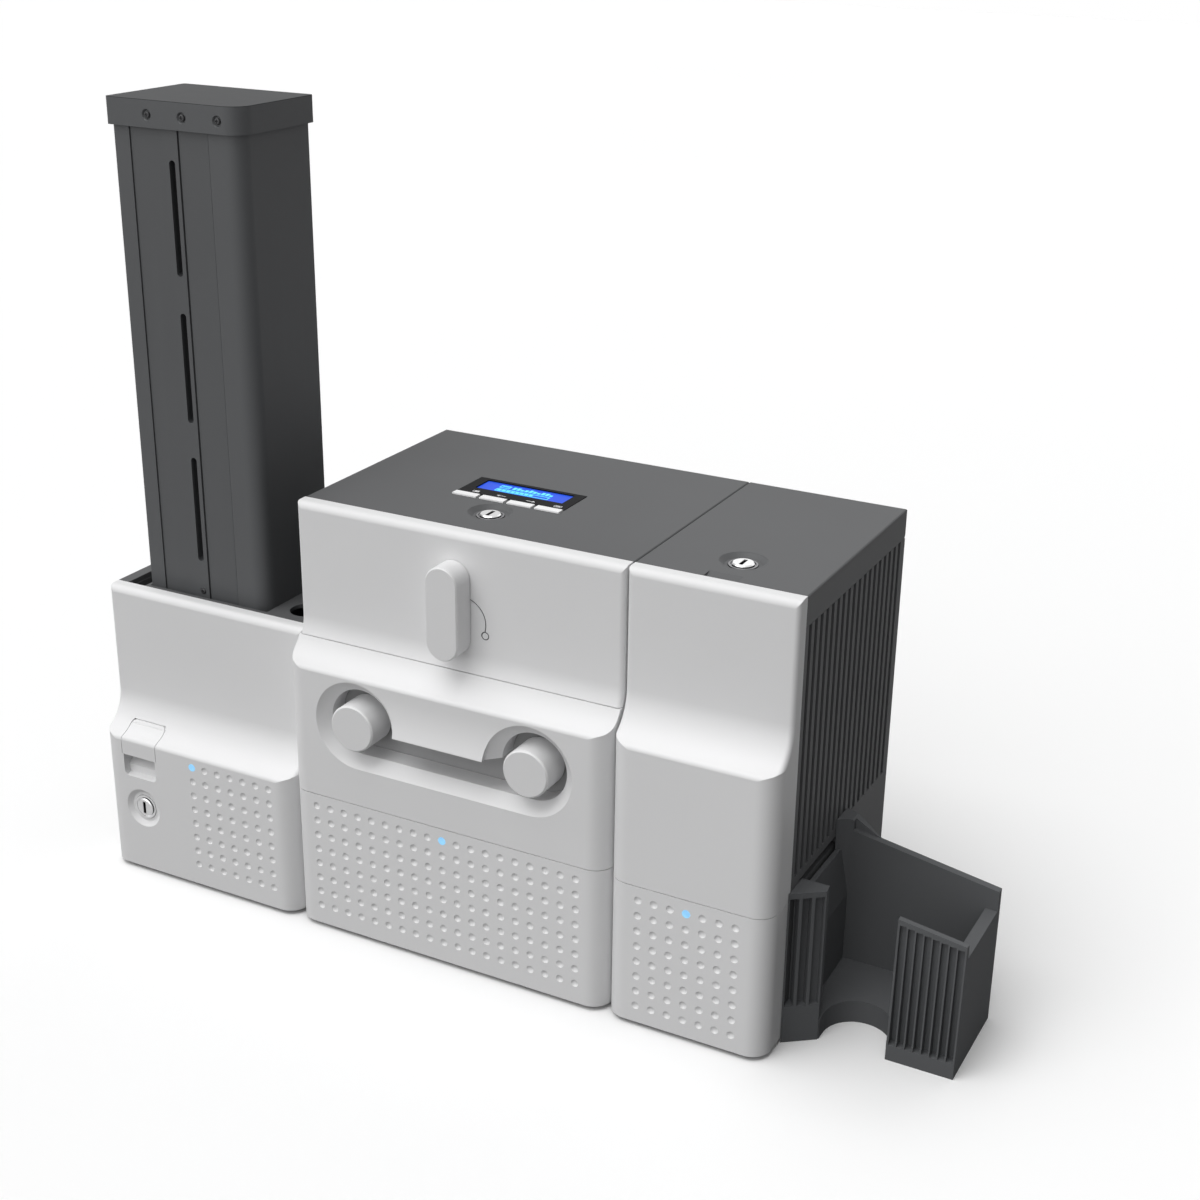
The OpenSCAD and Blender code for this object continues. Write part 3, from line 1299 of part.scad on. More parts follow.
module output_tray() color([0.3, 0.3, 0.31]) place() {
  wall_x = sx0 + 58;
  difference() {
    union() {
      // Floor and back wall
      slab_x([[tray_front, 0], [tray_back, 0], [tray_back, tray_floor + tray_rise], [tray_front, tray_floor]], sx0, sx1);
      slab_y([[sx0, 0], [sx1, 0], [sx1, tray_back_z - 17], [sx0, tray_back_z]], tray_back - tray_wall, tray_back);
      // Flare of the back wall beside the housing
      intersection() {
        difference() {
          union() {
            box(sx0, sx0 + cove_w, tray_back - tray_wall - cove_d - 1, tray_back, 0, 120);
            slab_z([[sx0, tray_back - 1], [sx0 + 25, tray_back - 1], [sx0 + 25, tray_back], [sx0, tray_back + 7]], 0, 120);
          }
          rod_z(sx0 + cove_w, tray_back - tray_wall - cove_r, -1, 121, cove_r);
        }
        slab_y([[sx0, 0], [sx0 + 26, 0], [sx0 + 26, tray_back_z - 5], [sx0 + 8, tray_back_z + 5.5], [sx0, tray_back_z + 5.5]], 80, 120);
      }
      // Plate against the housing, sloping in as a card chute
      slab_y([[sx0, 0], [sx0 + 8, 0], [sx0 + 8, 60], [sx0 + 3, path_z - 5], [sx0, path_z - 5]], tray_front, tray_back - 2);
      // Post in front of the exit
      slab_z([[sx0, 25.4], [sx0 + 17.5, 38.5], [sx0 + 16.5, tray_inner - 1.4], [sx0, tray_inner - 1.4]], 0, path_z + 3);
      // Outer end wall
      box(sx1 - 7.2, sx1, tray_front + 5, tray_back - 1, 0, 75);
      // Leaning front wall
      intersection() {
        slab_x([[tray_front, 0], [tray_inner, 0], [tray_inner, 92], [tray_front + tray_lean, 92]], wall_x, sx1);
        slab_y([[wall_x, 0], [sx1, 0], [sx1, 84], [wall_x, 90]], 30, 60);
      }
    }
    // Thumb cut-out
    rod_z(thumb_x, thumb_y, -1, tray_floor + 5, thumb_r);
    box(thumb_x - thumb_r, wall_x, tray_front - 2, thumb_y, -1, tray_floor + 5);
    // Slots in the leaning front wall
    for (i = [0 : 7])
      translate([wall_x + 1.2 + i * tray_pitch, tray_front - 2, 10])
        cube([tray_slot, tray_inner - tray_skin - tray_front + 2, 76.3 - i * 0.73]);
    // Slots in the post
    for (i = [0 : 2])
      translate([sx0, 25.4, 24]) rotate([0, 0, 36.8]) translate([0.95 + i * 7.3, -3, 0])
        cube([5.4, 10.5 - i * 1.8, path_z - 24.5]);
  }
}

module rubber_feet() color([0.08, 0.08, 0.08]) place() {
  for (x = [fx0 + 14, fx1 - 14, 14, printer_w - 14, rx0 + 14, rx1 - 14], y = [shell_y + 12, body_d - 14])
    rod_z(x, y, 0, foot_h, 7);
}

feeder_chassis();
feeder_deck();
feed_table();
feed_motor();
feeder_door();
feeder_light();
feeder_latch();
feeder_lock_barrel();
feeder_lock_plug();
hopper_tower();
hopper_front_panel();
hopper_cap();
card_weight();
pick_roller();
pick_gear();
motor_pinion();
printer_chassis();
print_frame();
upper_front_panel();
lower_front_panel();
status_lights();
main_board();
rear_sockets();
power_switch();
hinge_pins();
printer_lid();
display_bezel();
display_screen();
printer_lock_barrel();
printer_lock_plug();
button_1();
button_2();
button_3();
button_4();
head_lever();
cam_shaft();
head_bracket();
print_head();
ribbon_drawer();
ribbon_frame();
ribbon_film();
supply_spool();
supply_roll();
takeup_spool();
takeup_roll();
platen_roller();
inlet_roller();
outlet_roller();
flipper_chassis();
flipper_side_panel();
flipper_front_panel();
flipper_lower_panel();
flipper_lid();
flipper_lock_barrel();
flipper_lock_plug();
flipper_frame();
flipper_drum();
output_tray();
rubber_feet();
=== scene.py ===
"""Looks of a desk-top card printer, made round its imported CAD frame.

Lengths in the helper functions are millimetres in the maker's frame, whose x = 0 is the left
side of the print housing and y = 0 the lower front face. at() turns them into the row frame.
"""
import math

import bpy
from mathutils import Matrix, Vector


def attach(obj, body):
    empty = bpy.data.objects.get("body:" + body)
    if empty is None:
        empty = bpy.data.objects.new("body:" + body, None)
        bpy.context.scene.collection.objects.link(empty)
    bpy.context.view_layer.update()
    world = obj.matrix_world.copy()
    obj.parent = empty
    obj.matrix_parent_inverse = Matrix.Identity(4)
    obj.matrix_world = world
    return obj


bl_info = {
    "name": "Card printer looks",
    "version": (1, 0, 0),
    "blender": (4, 5, 0),
    "location": "View3D > Sidebar > Card Printer",
    "description": "Finishes, fasteners, screen figures and studio of a card printer",
    "category": "Object",
}

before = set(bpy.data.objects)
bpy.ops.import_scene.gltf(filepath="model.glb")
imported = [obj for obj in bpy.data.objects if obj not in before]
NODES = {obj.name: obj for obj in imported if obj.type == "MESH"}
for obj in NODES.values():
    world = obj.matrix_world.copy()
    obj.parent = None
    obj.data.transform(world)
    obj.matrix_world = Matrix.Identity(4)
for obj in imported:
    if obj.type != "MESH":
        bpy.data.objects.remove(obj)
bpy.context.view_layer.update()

MM = 0.001
MID_X, MID_Y = 132.5, 90.5
PRINT_X = 108.5
TOWER_X = -87.2
BODY_TOP = 274.5
STEP_Y = 19.0
PATH_Z = 95.0
LATCH_X = -121.3
DOOR_SWEEP_R = 25.02
SPOOL_X = (49.5, 167.5)
LEVER_Z = 229.5
SPOOL_Z = 147.2


def at(x, y, z):
    """Row-frame point, in metres, of a point in the maker's millimetres."""
    return Vector(((x - MID_X) * MM, (y - MID_Y) * MM, z * MM))


# Colours and sizes a user would change

def colour(name, description, value):
    return bpy.props.FloatVectorProperty(
        name=name, description=description, subtype="COLOR", size=3, min=0, max=1, default=value)


class PrinterColours(bpy.types.PropertyGroup):
    cover: colour("Covers", "White moulded front covers, drawer and lever", (0.79, 0.79, 0.795))
    housing: colour("Housings", "Dark grained housings and lids", (0.1, 0.102, 0.105))
    tower: colour("Tower", "Dark satin card tower and output tray", (0.098, 0.101, 0.105))
    table: colour("Feed table", "Grey feed table and turn-over drum", (0.2, 0.21, 0.225))
    screen: colour("Screen", "Blue of the lit display", (0.016, 0.09, 0.78))
    figures: colour("Screen figures", "Pale cyan of the screen's figures", (0.1, 0.75, 1.0))
    lamp: colour("Status lights", "Light blue of the round status lights", (0.3, 0.64, 1.0))
    board: colour("Circuit board", "Green coating of the circuit board", (0.012, 0.11, 0.035))


class PrinterSizes(bpy.types.PropertyGroup):
    grain: bpy.props.FloatProperty(
        name="Housing grain", description="Width of the grain on the dark housings",
        subtype="DISTANCE", unit="LENGTH", default=0.0009)
    polish: bpy.props.FloatProperty(
        name="Cover roughness", description="Roughness of the white covers",
        subtype="FACTOR", min=0, max=1, default=0.46)
    screw: bpy.props.FloatProperty(
        name="Screw head", description="Radius of the small screw heads",
        subtype="DISTANCE", unit="LENGTH", default=0.0019)
    lens: bpy.props.FloatProperty(
        name="Camera lens", description="Focal length of the camera",
        subtype="DISTANCE_CAMERA", default=55.58)


# Shader arithmetic

class Wire:
    """A node's output socket that takes part in sums of numbers."""

    def __init__(self, finish, socket):
        self.finish = finish
        self.socket = socket

    def out(self, name):
        return Wire(self.finish, self.socket.node.outputs[name])

    def math(self, operation, *others):
        return self.finish.node("ShaderNodeMath", {"operation": operation}, dict(enumerate((self,) + others)))

    def flipped(self, operation, other):
        return self.finish.node("ShaderNodeMath", {"operation": operation}, {0: other, 1: self})

    def __add__(self, other):
        return self.math("ADD", other)

    __radd__ = __add__

    def __sub__(self, other):
        return self.math("SUBTRACT", other)

    def __rsub__(self, other):
        return self.flipped("SUBTRACT", other)

    def __mul__(self, other):
        return self.math("MULTIPLY", other)

    def __truediv__(self, other):
        return self.math("DIVIDE", other)

    def __pow__(self, other):
        return self.math("POWER", other)

    def __gt__(self, other):
        return self.math("GREATER_THAN", other)

    def __lt__(self, other):
        return self.math("LESS_THAN", other)

    def clamp(self):
        return self.math("MINIMUM", 1.0).math("MAXIMUM", 0.0)

    def between(self, low, high):
        return (self > low) * (self < high)

    def fade(self, low, high):
        """0 at low and 1 at high, smoothly."""
        return self.finish.node(
            "ShaderNodeMapRange", {"interpolation_type": "SMOOTHSTEP"},
            {"Value": self, "From Min": low, "From Max": high, "To Min": 0.0, "To Max": 1.0})


class Finish:
    """One procedural material."""

    def __init__(self, name):
        self.material = bpy.data.materials.new(name)
        self.material.use_nodes = True
        self.tree = self.material.node_tree
        self.shader = self.tree.nodes["Principled BSDF"]
        self.here = self.node("ShaderNodeTexCoord").out("Object")
        split = self.node("ShaderNodeSeparateXYZ", {}, {0: self.here})
        self.x, self.y, self.z = (split.out(axis) for axis in "XYZ")

    def node(self, kind, settings=None, feeds=None):
        made = self.tree.nodes.new(kind)
        for key, value in (settings or {}).items():
            if key == "stops":
                ramp = made.color_ramp
                while len(ramp.elements) < len(value):
                    ramp.elements.new(0.5)
                for element, (place, shade) in zip(ramp.elements, value):
                    element.position = place
                    element.color = (*shade, 1.0)
            elif key == "steps":
                made.color_ramp.interpolation = value
            else:
                setattr(made, key, value)
        for key, value in (feeds or {}).items():
            if isinstance(value, Wire):
                self.tree.links.new(value.socket, made.inputs[key])
            else:
                made.inputs[key].default_value = value
        return Wire(self, made.outputs[0])

    def set(self, **values):
        """Feeds the main shader; words in a socket's name are joined by underscores."""
        for key, value in values.items():
            socket = self.shader.inputs[key.replace("_", " ")]
            if isinstance(value, Wire):
                self.tree.links.new(value.socket, socket)
            elif isinstance(value, (tuple, list, Vector)) and len(value) == 3:
                socket.default_value = (*value, 1.0)
            else:
                socket.default_value = value
        return self

    def noise(self, size, detail=2.0, roughness=0.5, stretch=(1, 1, 1)):
        """Noise whose features are about size metres wide, longer where stretch is above 1."""
        spot = self.here
        if stretch != (1, 1, 1):
            shrink = [1 / s for s in stretch]
            spot = self.node("ShaderNodeMapping", {}, {"Vector": self.here, "Scale": shrink})
        return self.node(
            "ShaderNodeTexNoise", {},
            {"Vector": spot, "Scale": 0.5 / size, "Detail": detail, "Roughness": roughness})

    def mix(self, share, first, second):
        """Colour between first and second."""
        feeds = {"Factor": share}
        for slot, value in ((6, first), (7, second)):
            feeds[slot] = value if isinstance(value, Wire) else (*value, 1.0)
        mixed = self.node("ShaderNodeMix", {"data_type": "RGBA"}, feeds)
        return Wire(self, mixed.socket.node.outputs[2])

    def ramp(self, share, stops, steps="LINEAR"):
        return self.node("ShaderNodeValToRGB", {"stops": stops, "steps": steps}, {0: share})

    def bump(self, height, depth, strength=1.0, below=None):
        """Relief depth metres deep."""
        feeds = {"Height": height, "Distance": depth, "Strength": strength}
        if below:
            feeds["Normal"] = below
        return self.node("ShaderNodeBump", {}, feeds)

    def from_axis(self, u, v, u0, v0):
        """Distance from an axis that runs along the third direction."""
        du, dv = u - u0, v - v0
        return (du * du + dv * dv) ** 0.5


def shaded(rgb, factor):
    return tuple(min(1.0, c * factor) for c in rgb)


# Finishes

def cover_white(name, base, polish, marks=None):
    """Satin white moulding: faint clouding, fine texture, and marks(finish), a mask of dark print."""
    f = Finish(name)
    cloud = f.noise(0.09, 3.0)
    speck = f.noise(0.0012, 2.0, 0.6)
    tint = f.mix(cloud.fade(0.35, 0.65), shaded(base, 0.985), shaded(base, 1.012))
    if marks:
        tint = f.mix(marks(f), tint, (0.12, 0.12, 0.125))
    rough = polish - 0.04 + cloud * 0.05 + speck * 0.03
    texture = f.bump(f.noise(0.0004, 2.0), 0.00001, 0.25)
    return f.set(Base_Color=tint, Roughness=rough, Normal=texture, Specular_IOR_Level=0.35).material


def grained_dark(name, base, grain, rough=0.55, relief=0.00003, gloss=0.35):
    """Dark moulding with the fine spark-eroded grain of machine housings."""
    f = Finish(name)
    cloud = f.noise(0.12, 3.0)
    pits = f.node("ShaderNodeTexVoronoi", {"feature": "SMOOTH_F1"},
                  {"Vector": f.here, "Scale": 1 / grain, "Smoothness": 0.6})
    fine = f.noise(grain * 0.6, 3.0, 0.6)
    height = pits * 0.6 + fine * 0.4
    tint = f.mix(cloud.fade(0.35, 0.65), shaded(base, 0.95), shaded(base, 1.05))
    tint = f.mix(fine.fade(0.55, 0.8) * 0.35, tint, shaded(base, 1.25))
    return f.set(Base_Color=tint, Roughness=rough + cloud * 0.06 + fine * 0.06,
                 Normal=f.bump(height, relief, 0.6), Specular_IOR_Level=gloss).material


def satin_dark(name, base, rough=0.42, painted_shade_and_rough_above=None):
    """Smooth satin moulding, with the slight sink and drag of a tall wall; above a height its colour is
    halved as painted shade on the top, and it is rougher.
    """
    f = Finish(name)
    drag = f.noise(0.004, 2.0, 0.5, (1, 1, 14))
    cloud = f.noise(0.1, 2.0)
    tint = f.mix(cloud.fade(0.35, 0.65), shaded(base, 0.96), shaded(base, 1.04))
    tint = f.mix(drag.fade(0.5, 0.75) * 0.2, tint, shaded(base, 1.15))
    rough = rough + drag * 0.05 + cloud * 0.04
    if painted_shade_and_rough_above:
        # Painted shade: the top face is coloured half as bright as the rest, and made rougher
        top = f.z > painted_shade_and_rough_above
        tint = f.mix(top, tint, shaded(base, 0.5))
        rough = rough + top * 0.25
    return f.set(Base_Color=tint, Roughness=rough,
                 Normal=f.bump(f.noise(0.0005, 2.0), 0.00001, 0.3), Specular_IOR_Level=0.4).material


def sheet_metal(name, base, along=(14, 1, 1), rough=0.34, metal=1.0):
    """Plated or brushed sheet with streaks along one direction."""
    f = Finish(name)
    streak = f.noise(0.00035, 3.0, 0.6, along)
    cloud = f.noise(0.03, 3.0, 0.6)
    tint = f.mix(streak, shaded(base, 0.86), shaded(base, 1.08))
    tint = f.mix(cloud.fade(0.45, 0.7) * 0.3, tint, shaded(base, 0.82))
    return f.set(Base_Color=tint, Metallic=metal, Roughness=rough - 0.06 + streak * 0.12 + cloud * 0.05,
                 Normal=f.bump(streak, 0.00001, 0.35)).material


def cassette_finish(name, base):
    """Dark moulding whose front face, the back of the drawer's recess, is pale grey: a white wall toned down
    with painted shade.
    """
    f = Finish(name)
    face = f.y < at(0, 20.4, 0).y
    cloud = f.noise(0.03, 3.0)
    tint = f.mix(cloud, shaded(base, 0.93), shaded(base, 1.07))
    # The front face is a white wall coloured mid grey, painted shade of the recess under the drawer's lip
    return f.set(Base_Color=f.mix(face, tint, (0.36, 0.36, 0.365)), Roughness=0.5 + cloud * 0.06,
                 Normal=f.bump(f.noise(0.0005, 2.0), 0.00001, 0.3)).material


def lock_chrome(name, depth=None):
    """Bright plated lock part; depth(f) is the depth below its end. Deeper than 0.9 mm, inside the key slot,
    shade is painted as near-black.
    """
    f = Finish(name)
    turned = f.noise(0.0003, 2.0, 0.5, (1, 1, 6))
    tint = f.mix(turned, (0.86, 0.86, 0.87), (0.95, 0.95, 0.95))
    metal = 1.0
    if depth:
        # Painted shade: inside the key slot the plating is coloured near-black and not metallic
        slot = depth(f) > 0.0009
        tint = f.mix(slot, tint, (0.012, 0.012, 0.013))
        metal = 1 - slot
    return f.set(Base_Color=tint, Metallic=metal, Roughness=0.26 + turned * 0.08,
                 Normal=f.bump(turned, 0.000004, 0.12)).material


def roller_finish(name, cx, cz, shaft, rubber=(0.022, 0.022, 0.024)):
    """Rubber sleeve outside the shaft radius and ground steel within it."""
    f = Finish(name)
    c = at(cx, 0, cz)
    radius = f.from_axis(f.x, f.z, c.x, c.z)
    sleeve = radius.fade((shaft + 0.1) * MM, (shaft + 0.4) * MM)
    grind = f.noise(0.0003, 2.0, 0.5, (8, 1, 8))
    sleeve_tint = f.mix(f.noise(0.004, 3.0), shaded(rubber, 0.8), shaded(rubber, 1.3))
    steel_tint = f.mix(grind, (0.5, 0.5, 0.52), (0.68, 0.68, 0.7))
    return f.set(Base_Color=f.mix(sleeve, steel_tint, sleeve_tint), Metallic=1 - sleeve,
                 Roughness=0.25 + sleeve * 0.45 + grind * 0.06,
                 Normal=f.bump(f.noise(0.0006, 3.0), 0.00002, 0.3)).material


def soft_rubber(name):
    f = Finish(name)
    dust = f.noise(0.003, 4.0, 0.6)
    tint = f.mix(dust.fade(0.45, 0.8), (0.018, 0.018, 0.019), (0.045, 0.044, 0.043))
    return f.set(Base_Color=tint, Roughness=0.78 + dust * 0.1,
                 Normal=f.bump(f.noise(0.0008, 3.0), 0.00003, 0.5)).material


def lamp_lens(name, base, strength):
    """Lit round lens with a faint ripple in its glow."""
    f = Finish(name)
    ripple = f.noise(0.0015, 2.0)
    glow = f.mix(ripple.fade(0.3, 0.7), shaded(base, 0.94), shaded(base, 1.1))
    return f.set(Base_Color=shaded(base, 0.2), Emission_Color=glow, Emission_Strength=strength,
                 Roughness=0.3, Specular_IOR_Level=0.2).material


def screen_glass(name, base):
    """Lit character display: fine dots, a little darker to its edges."""
    f = Finish(name)
    centre = at(PRINT_X - 0.2, 100, BODY_TOP)
    across = ((f.x - centre.x) / 0.030).math("ABSOLUTE")
    along = ((f.y - centre.y) / 0.0082).math("ABSOLUTE")
    edge = across.fade(0.6, 1.05) * 0.25 + along.fade(0.5, 1.1) * 0.2
    dots = (f.x * 8000).math("SINE") * (f.y * 8000).math("SINE")
    glow = f.mix(edge, base, shaded(base, 0.4))
    glow = f.mix(dots.fade(0.3, 1.0) * 0.12, glow, shaded(base, 0.7))
    # Only the face is lit, not the sides and back that an open lid shows
    face = f.z > at(0, 0, BODY_TOP - 0.7).z
    glow = f.mix(face, (0, 0, 0), glow)
    tint = f.mix(face, (0.014, 0.014, 0.016), shaded(base, 0.25))
    return f.set(Base_Color=tint, Emission_Color=glow, Emission_Strength=0.85,
                 Roughness=0.35, Specular_IOR_Level=0.12).material


def gloss_black(name):
    f = Finish(name)
    haze = f.noise(0.02, 3.0)
    tint = f.mix(haze, (0.007, 0.007, 0.008), (0.012, 0.012, 0.013))
    return f.set(Base_Color=tint, Roughness=0.42 + haze * 0.08, Specular_IOR_Level=0.04).material


def board_finish(name, base):
    """Green coated board with fine tracks in front; what stands on it is black, tan or silver."""
    f = Finish(name)
    face = at(0, 163, 0).y
    grid = f.node("ShaderNodeTexBrick", {"offset": 0.37, "squash": 1.6},
                  {"Vector": f.node("ShaderNodeCombineXYZ", {}, {0: f.x, 1: f.z, 2: 0.0}),
                   "Color1": (0, 0, 0, 1), "Color2": (0, 0, 0, 1), "Mortar": (1, 1, 1, 1), "Scale": 120.0,
                   "Mortar Size": 0.04, "Brick Width": 0.9, "Row Height": 0.21})
    tracks = f.mix(grid, base, shaded(base, 1.9))
    raised = f.y < face - 0.0003
    tall = f.y < face - 0.0085
    header = (f.z > 0.137) * raised
    parts = f.mix(tall, (0.02, 0.02, 0.022), (0.55, 0.56, 0.58))
    parts = f.mix(header, parts, (0.62, 0.6, 0.52))
    grain = f.noise(0.002, 3.0)
    return f.set(Base_Color=f.mix(raised, tracks, parts), Roughness=0.38 + grain * 0.12, Metallic=tall * 0.8,
                 Normal=f.bump(grid, 0.00002, 0.4)).material


def ribbon_finish(name, along):
    """Colour panels of dye film along the web."""
    f = Finish(name)
    stops = [(0.0, (0.72, 0.55, 0.02)), (0.25, (0.55, 0.02, 0.16)), (0.5, (0.01, 0.16, 0.5)),
             (0.75, (0.012, 0.012, 0.014)), (0.93, (0.5, 0.5, 0.52))]
    panels = f.ramp(along(f), stops, "CONSTANT")
    sheen = f.noise(0.01, 2.0)
    tint = f.mix(sheen * 0.2, panels, (0.3, 0.3, 0.32))
    return f.set(Base_Color=tint, Roughness=0.2 + sheen * 0.1, Specular_IOR_Level=0.6,
                 Normal=f.bump(f.noise(0.02, 2.0, 0.5, (1, 8, 1)), 0.0002, 0.3)).material


def wound_film(name, cx, base):
    """End grain of a wound film roll: fine rings about its spool."""
    f = Finish(name)
    c = at(cx, 0, SPOOL_Z)
    radius = f.from_axis(f.x, f.z, c.x, c.z)
    rings = (radius * 16000 + f.noise(0.01, 2.0) * 3).math("SINE") * 0.5 + 0.5
    tint = f.mix(rings * 0.5, base, shaded(base, 0.55))
    return f.set(Base_Color=tint, Roughness=0.3 + rings * 0.15, Normal=f.bump(rings, 0.00002, 0.3)).material


def nylon(name, base):
    f = Finish(name)
    cloud = f.noise(0.01, 3.0)
    tint = f.mix(cloud, shaded(base, 0.93), shaded(base, 1.04))
    return f.set(Base_Color=tint, Roughness=0.36 + cloud * 0.08, Subsurface_Weight=0.08,
                 Normal=f.bump(f.noise(0.0006, 2.0), 0.00001, 0.3)).material


def motor_finish(name):
    """Black laminated motor body with bright end parts."""
    f = Finish(name)
    top, back = at(0, 121, 0).y, at(0, 152, 0).y
    bright = (f.y < top) + (f.y > back)
    plates = (f.y * 9000).math("SINE") * 0.5 + 0.5
    grain = f.noise(0.0015, 3.0)
    tint = f.mix(bright, f.mix(plates * 0.5, (0.02, 0.02, 0.022), (0.05, 0.05, 0.054)), (0.5, 0.5, 0.52))
    return f.set(Base_Color=tint, Metallic=bright * 0.9, Roughness=0.45 + grain * 0.12,
                 Normal=f.bump(plates, 0.00005, 0.4)).material


def head_finish(name):
    """Anodised fin block with a dark glazed strip at its foot."""
    f = Finish(name)
    foot = f.z < at(0, 0, PATH_Z + 6.4).z
    streak = f.noise(0.0004, 3.0, 0.5, (1, 14, 1))
    metal = f.mix(streak, (0.3, 0.31, 0.33), (0.42, 0.43, 0.45))
    tint = f.mix(foot, metal, (0.09, 0.06, 0.03))
    return f.set(Base_Color=tint, Metallic=0.9 - foot * 0.9, Roughness=0.35 + streak * 0.1 - foot * 0.2,
                 Normal=f.bump(streak, 0.00001, 0.3)).material


def printed(name, ink):
    """Screen-printed ink for the small marks."""
    f = Finish(name)
    edge = f.noise(0.0006, 2.0)
    tint = f.mix(edge, shaded(ink, 0.93), shaded(ink, 1.05))
    return f.set(Base_Color=tint, Roughness=0.45 + edge * 0.08).material


def screen_ink(name, ink):
    f = Finish(name)
    cell = (f.x * 9000).math("SINE") * (f.y * 9000).math("SINE")
    glow = f.mix(cell.fade(0.0, 1.0) * 0.25, ink, shaded(ink, 0.7))
    return f.set(Base_Color=shaded(ink, 0.3), Emission_Color=glow, Emission_Strength=0.9,
                 Roughness=0.2).material


# Mesh work

def deselect():
    if bpy.context.object and bpy.context.object.mode != "OBJECT":
        bpy.ops.object.mode_set(mode="OBJECT")
    bpy.ops.object.select_all(action="DESELECT")


def select_only(*objects):
    deselect()
    for piece in objects:
        piece.select_set(True)
    bpy.context.view_layer.objects.active = objects[-1]


def pick_faces(piece, wanted):
    """In edit mode, selects only the faces whose centre and normal wanted() accepts."""
    bpy.ops.object.mode_set(mode="OBJECT")
    for part in (piece.data.vertices, piece.data.edges, piece.data.polygons):
        for item in part:
            item.select = False
    for face in piece.data.polygons:
        face.select = wanted(face.center, face.normal)
    bpy.ops.object.mode_set(mode="EDIT")
    bpy.ops.mesh.select_mode(type="FACE")


def add_block(lo, hi):
    """Block between two corners in row-frame metres, in edit mode."""
    deselect()
    lo, hi = Vector(lo), Vector(hi)
    bpy.ops.mesh.primitive_cube_add(size=1, location=(lo + hi) / 2)
    block = bpy.context.object
    block.scale = hi - lo
    bpy.ops.object.transform_apply(location=True, rotation=True, scale=True)
    return block


def join_pieces(pieces):
    select_only(*pieces)
    if len(pieces) > 1:
        bpy.ops.object.join()
    return bpy.context.object


def apply_modifier(piece, kind, **settings):
    select_only(piece)
    modifier = piece.modifiers.new(kind.title(), kind)
    for key, value in settings.items():
        setattr(modifier, key, value)
    bpy.ops.object.modifier_apply(modifier=modifier.name)


def place_piece(piece, spot, facing):
    """Turns a piece modelled about the origin so its +Z looks along facing, and moves it to spot."""
    select_only(piece)
    turn = Vector((0, 0, 1)).rotation_difference(Vector(facing)).to_matrix().to_4x4()
    piece.matrix_world = Matrix.Translation(spot) @ turn
    bpy.ops.object.transform_apply(location=True, rotation=True, scale=True)


def finish_piece(piece, name, material, body):
    piece.name = name
    piece.data.name = name
    piece.data.materials.clear()
    piece.data.materials.append(material)
    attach(piece, body)
    return piece


def wear(material, *names):
    """Gives CAD nodes their material."""
    for name in names:
        mesh = NODES[name].data
        mesh.materials.clear()
        mesh.materials.append(material)
        for face in mesh.polygons:
            face.material_index = 0


def cross_screw(radius, height):
    """Pan-head cross-recess screw about the origin, its seat at z = 0."""
    deselect()
    bpy.ops.mesh.primitive_cylinder_add(vertices=28, radius=radius, depth=height, location=(0, 0, height / 2))
    screw = bpy.context.object
    bpy.ops.object.transform_apply(location=True, rotation=True, scale=True)
    pick_faces(screw, lambda centre, normal: normal.z > 0.9)
    bpy.ops.mesh.bevel(offset=height * 0.45, segments=4, affect="EDGES")
    bpy.ops.object.mode_set(mode="OBJECT")
    arms = []
    for turn in (0, math.pi / 2):
        bpy.ops.mesh.primitive_cube_add(size=1, location=(0, 0, height), rotation=(0, 0, turn))
        arm = bpy.context.object
        arm.scale = (radius * 1.15, radius * 0.28, height * 1.1)
        bpy.ops.object.transform_apply(location=True, rotation=True, scale=True)
        arms.append(arm)
    for arm in arms:
        apply_modifier(screw, "BOOLEAN", object=arm, operation="DIFFERENCE", solver="EXACT")
    for arm in arms:
        bpy.data.objects.remove(arm)
    select_only(screw)
    bpy.ops.object.shade_smooth_by_angle(angle=math.radians(35))
    return screw


def copy_piece(piece):
    twin = piece.copy()
    twin.data = piece.data.copy()
    bpy.context.scene.collection.objects.link(twin)
    return twin


# Operators, one for each group of pieces

class PRINTER_OT_white_covers(bpy.types.Operator):
    """Satin white front covers, ribbon drawer, lever, spools and menu buttons"""
    bl_idname = "printer.white_covers"
    bl_label = "White covers"

    def execute(self, context):
        base = context.scene.printer_colours.cover
        polish = context.scene.printer_sizes.polish

        def lever_mark(f):
            # The fine arc and ring cut beside the lever are inked
            floor, arc = at(0, STEP_Y + 0.15, 0), at(PRINT_X + 6.1, 0, LEVER_Z - 7.5)
            ring = at(PRINT_X + 20.1, 0, LEVER_Z - 14.1)
            arc_r = f.from_axis(f.x, f.z, arc.x, arc.z)
            ring_r = f.from_axis(f.x, f.z, ring.x, ring.z)
            near = arc_r.between(0.0140, 0.0150) + ring_r.between(0.0018, 0.0027)
            return ((f.y > floor.y) * (f.y < floor.y + 0.0006) * near).clamp()

        white = cover_white("cover_white", base, polish)
        wear(white, "feeder_door", "feeder_latch", "lower_front_panel", "ribbon_drawer", "head_lever",
             "flipper_front_panel", "flipper_lower_panel", "supply_spool", "takeup_spool")
        wear(cover_white("button_white", shaded(base, 1.18), polish),
             "button_1", "button_2", "button_3", "button_4")
        wear(cover_white("cover_white_marked", base, polish, lever_mark), "upper_front_panel")

        # Fills the opening that the CAD door has above its latch flap, along the door's sweep
        edge = add_block(at(-134.28, 12.6, 103.97), at(-108.32, 17.0, 105.96))
        bpy.ops.mesh.primitive_cylinder_add(
            vertices=256, radius=DOOR_SWEEP_R * MM, depth=40 * MM,
            location=at(LATCH_X, -6, 120), rotation=(0, math.pi / 2, 0))
        bpy.ops.object.transform_apply(location=True, rotation=True, scale=True)
        sweep = bpy.context.object
        apply_modifier(edge, "BOOLEAN", object=sweep, operation="DIFFERENCE", solver="EXACT")
        bpy.data.objects.remove(sweep)
        finish_piece(edge, "latch_edge", white, "input_door")
        return {"FINISHED"}


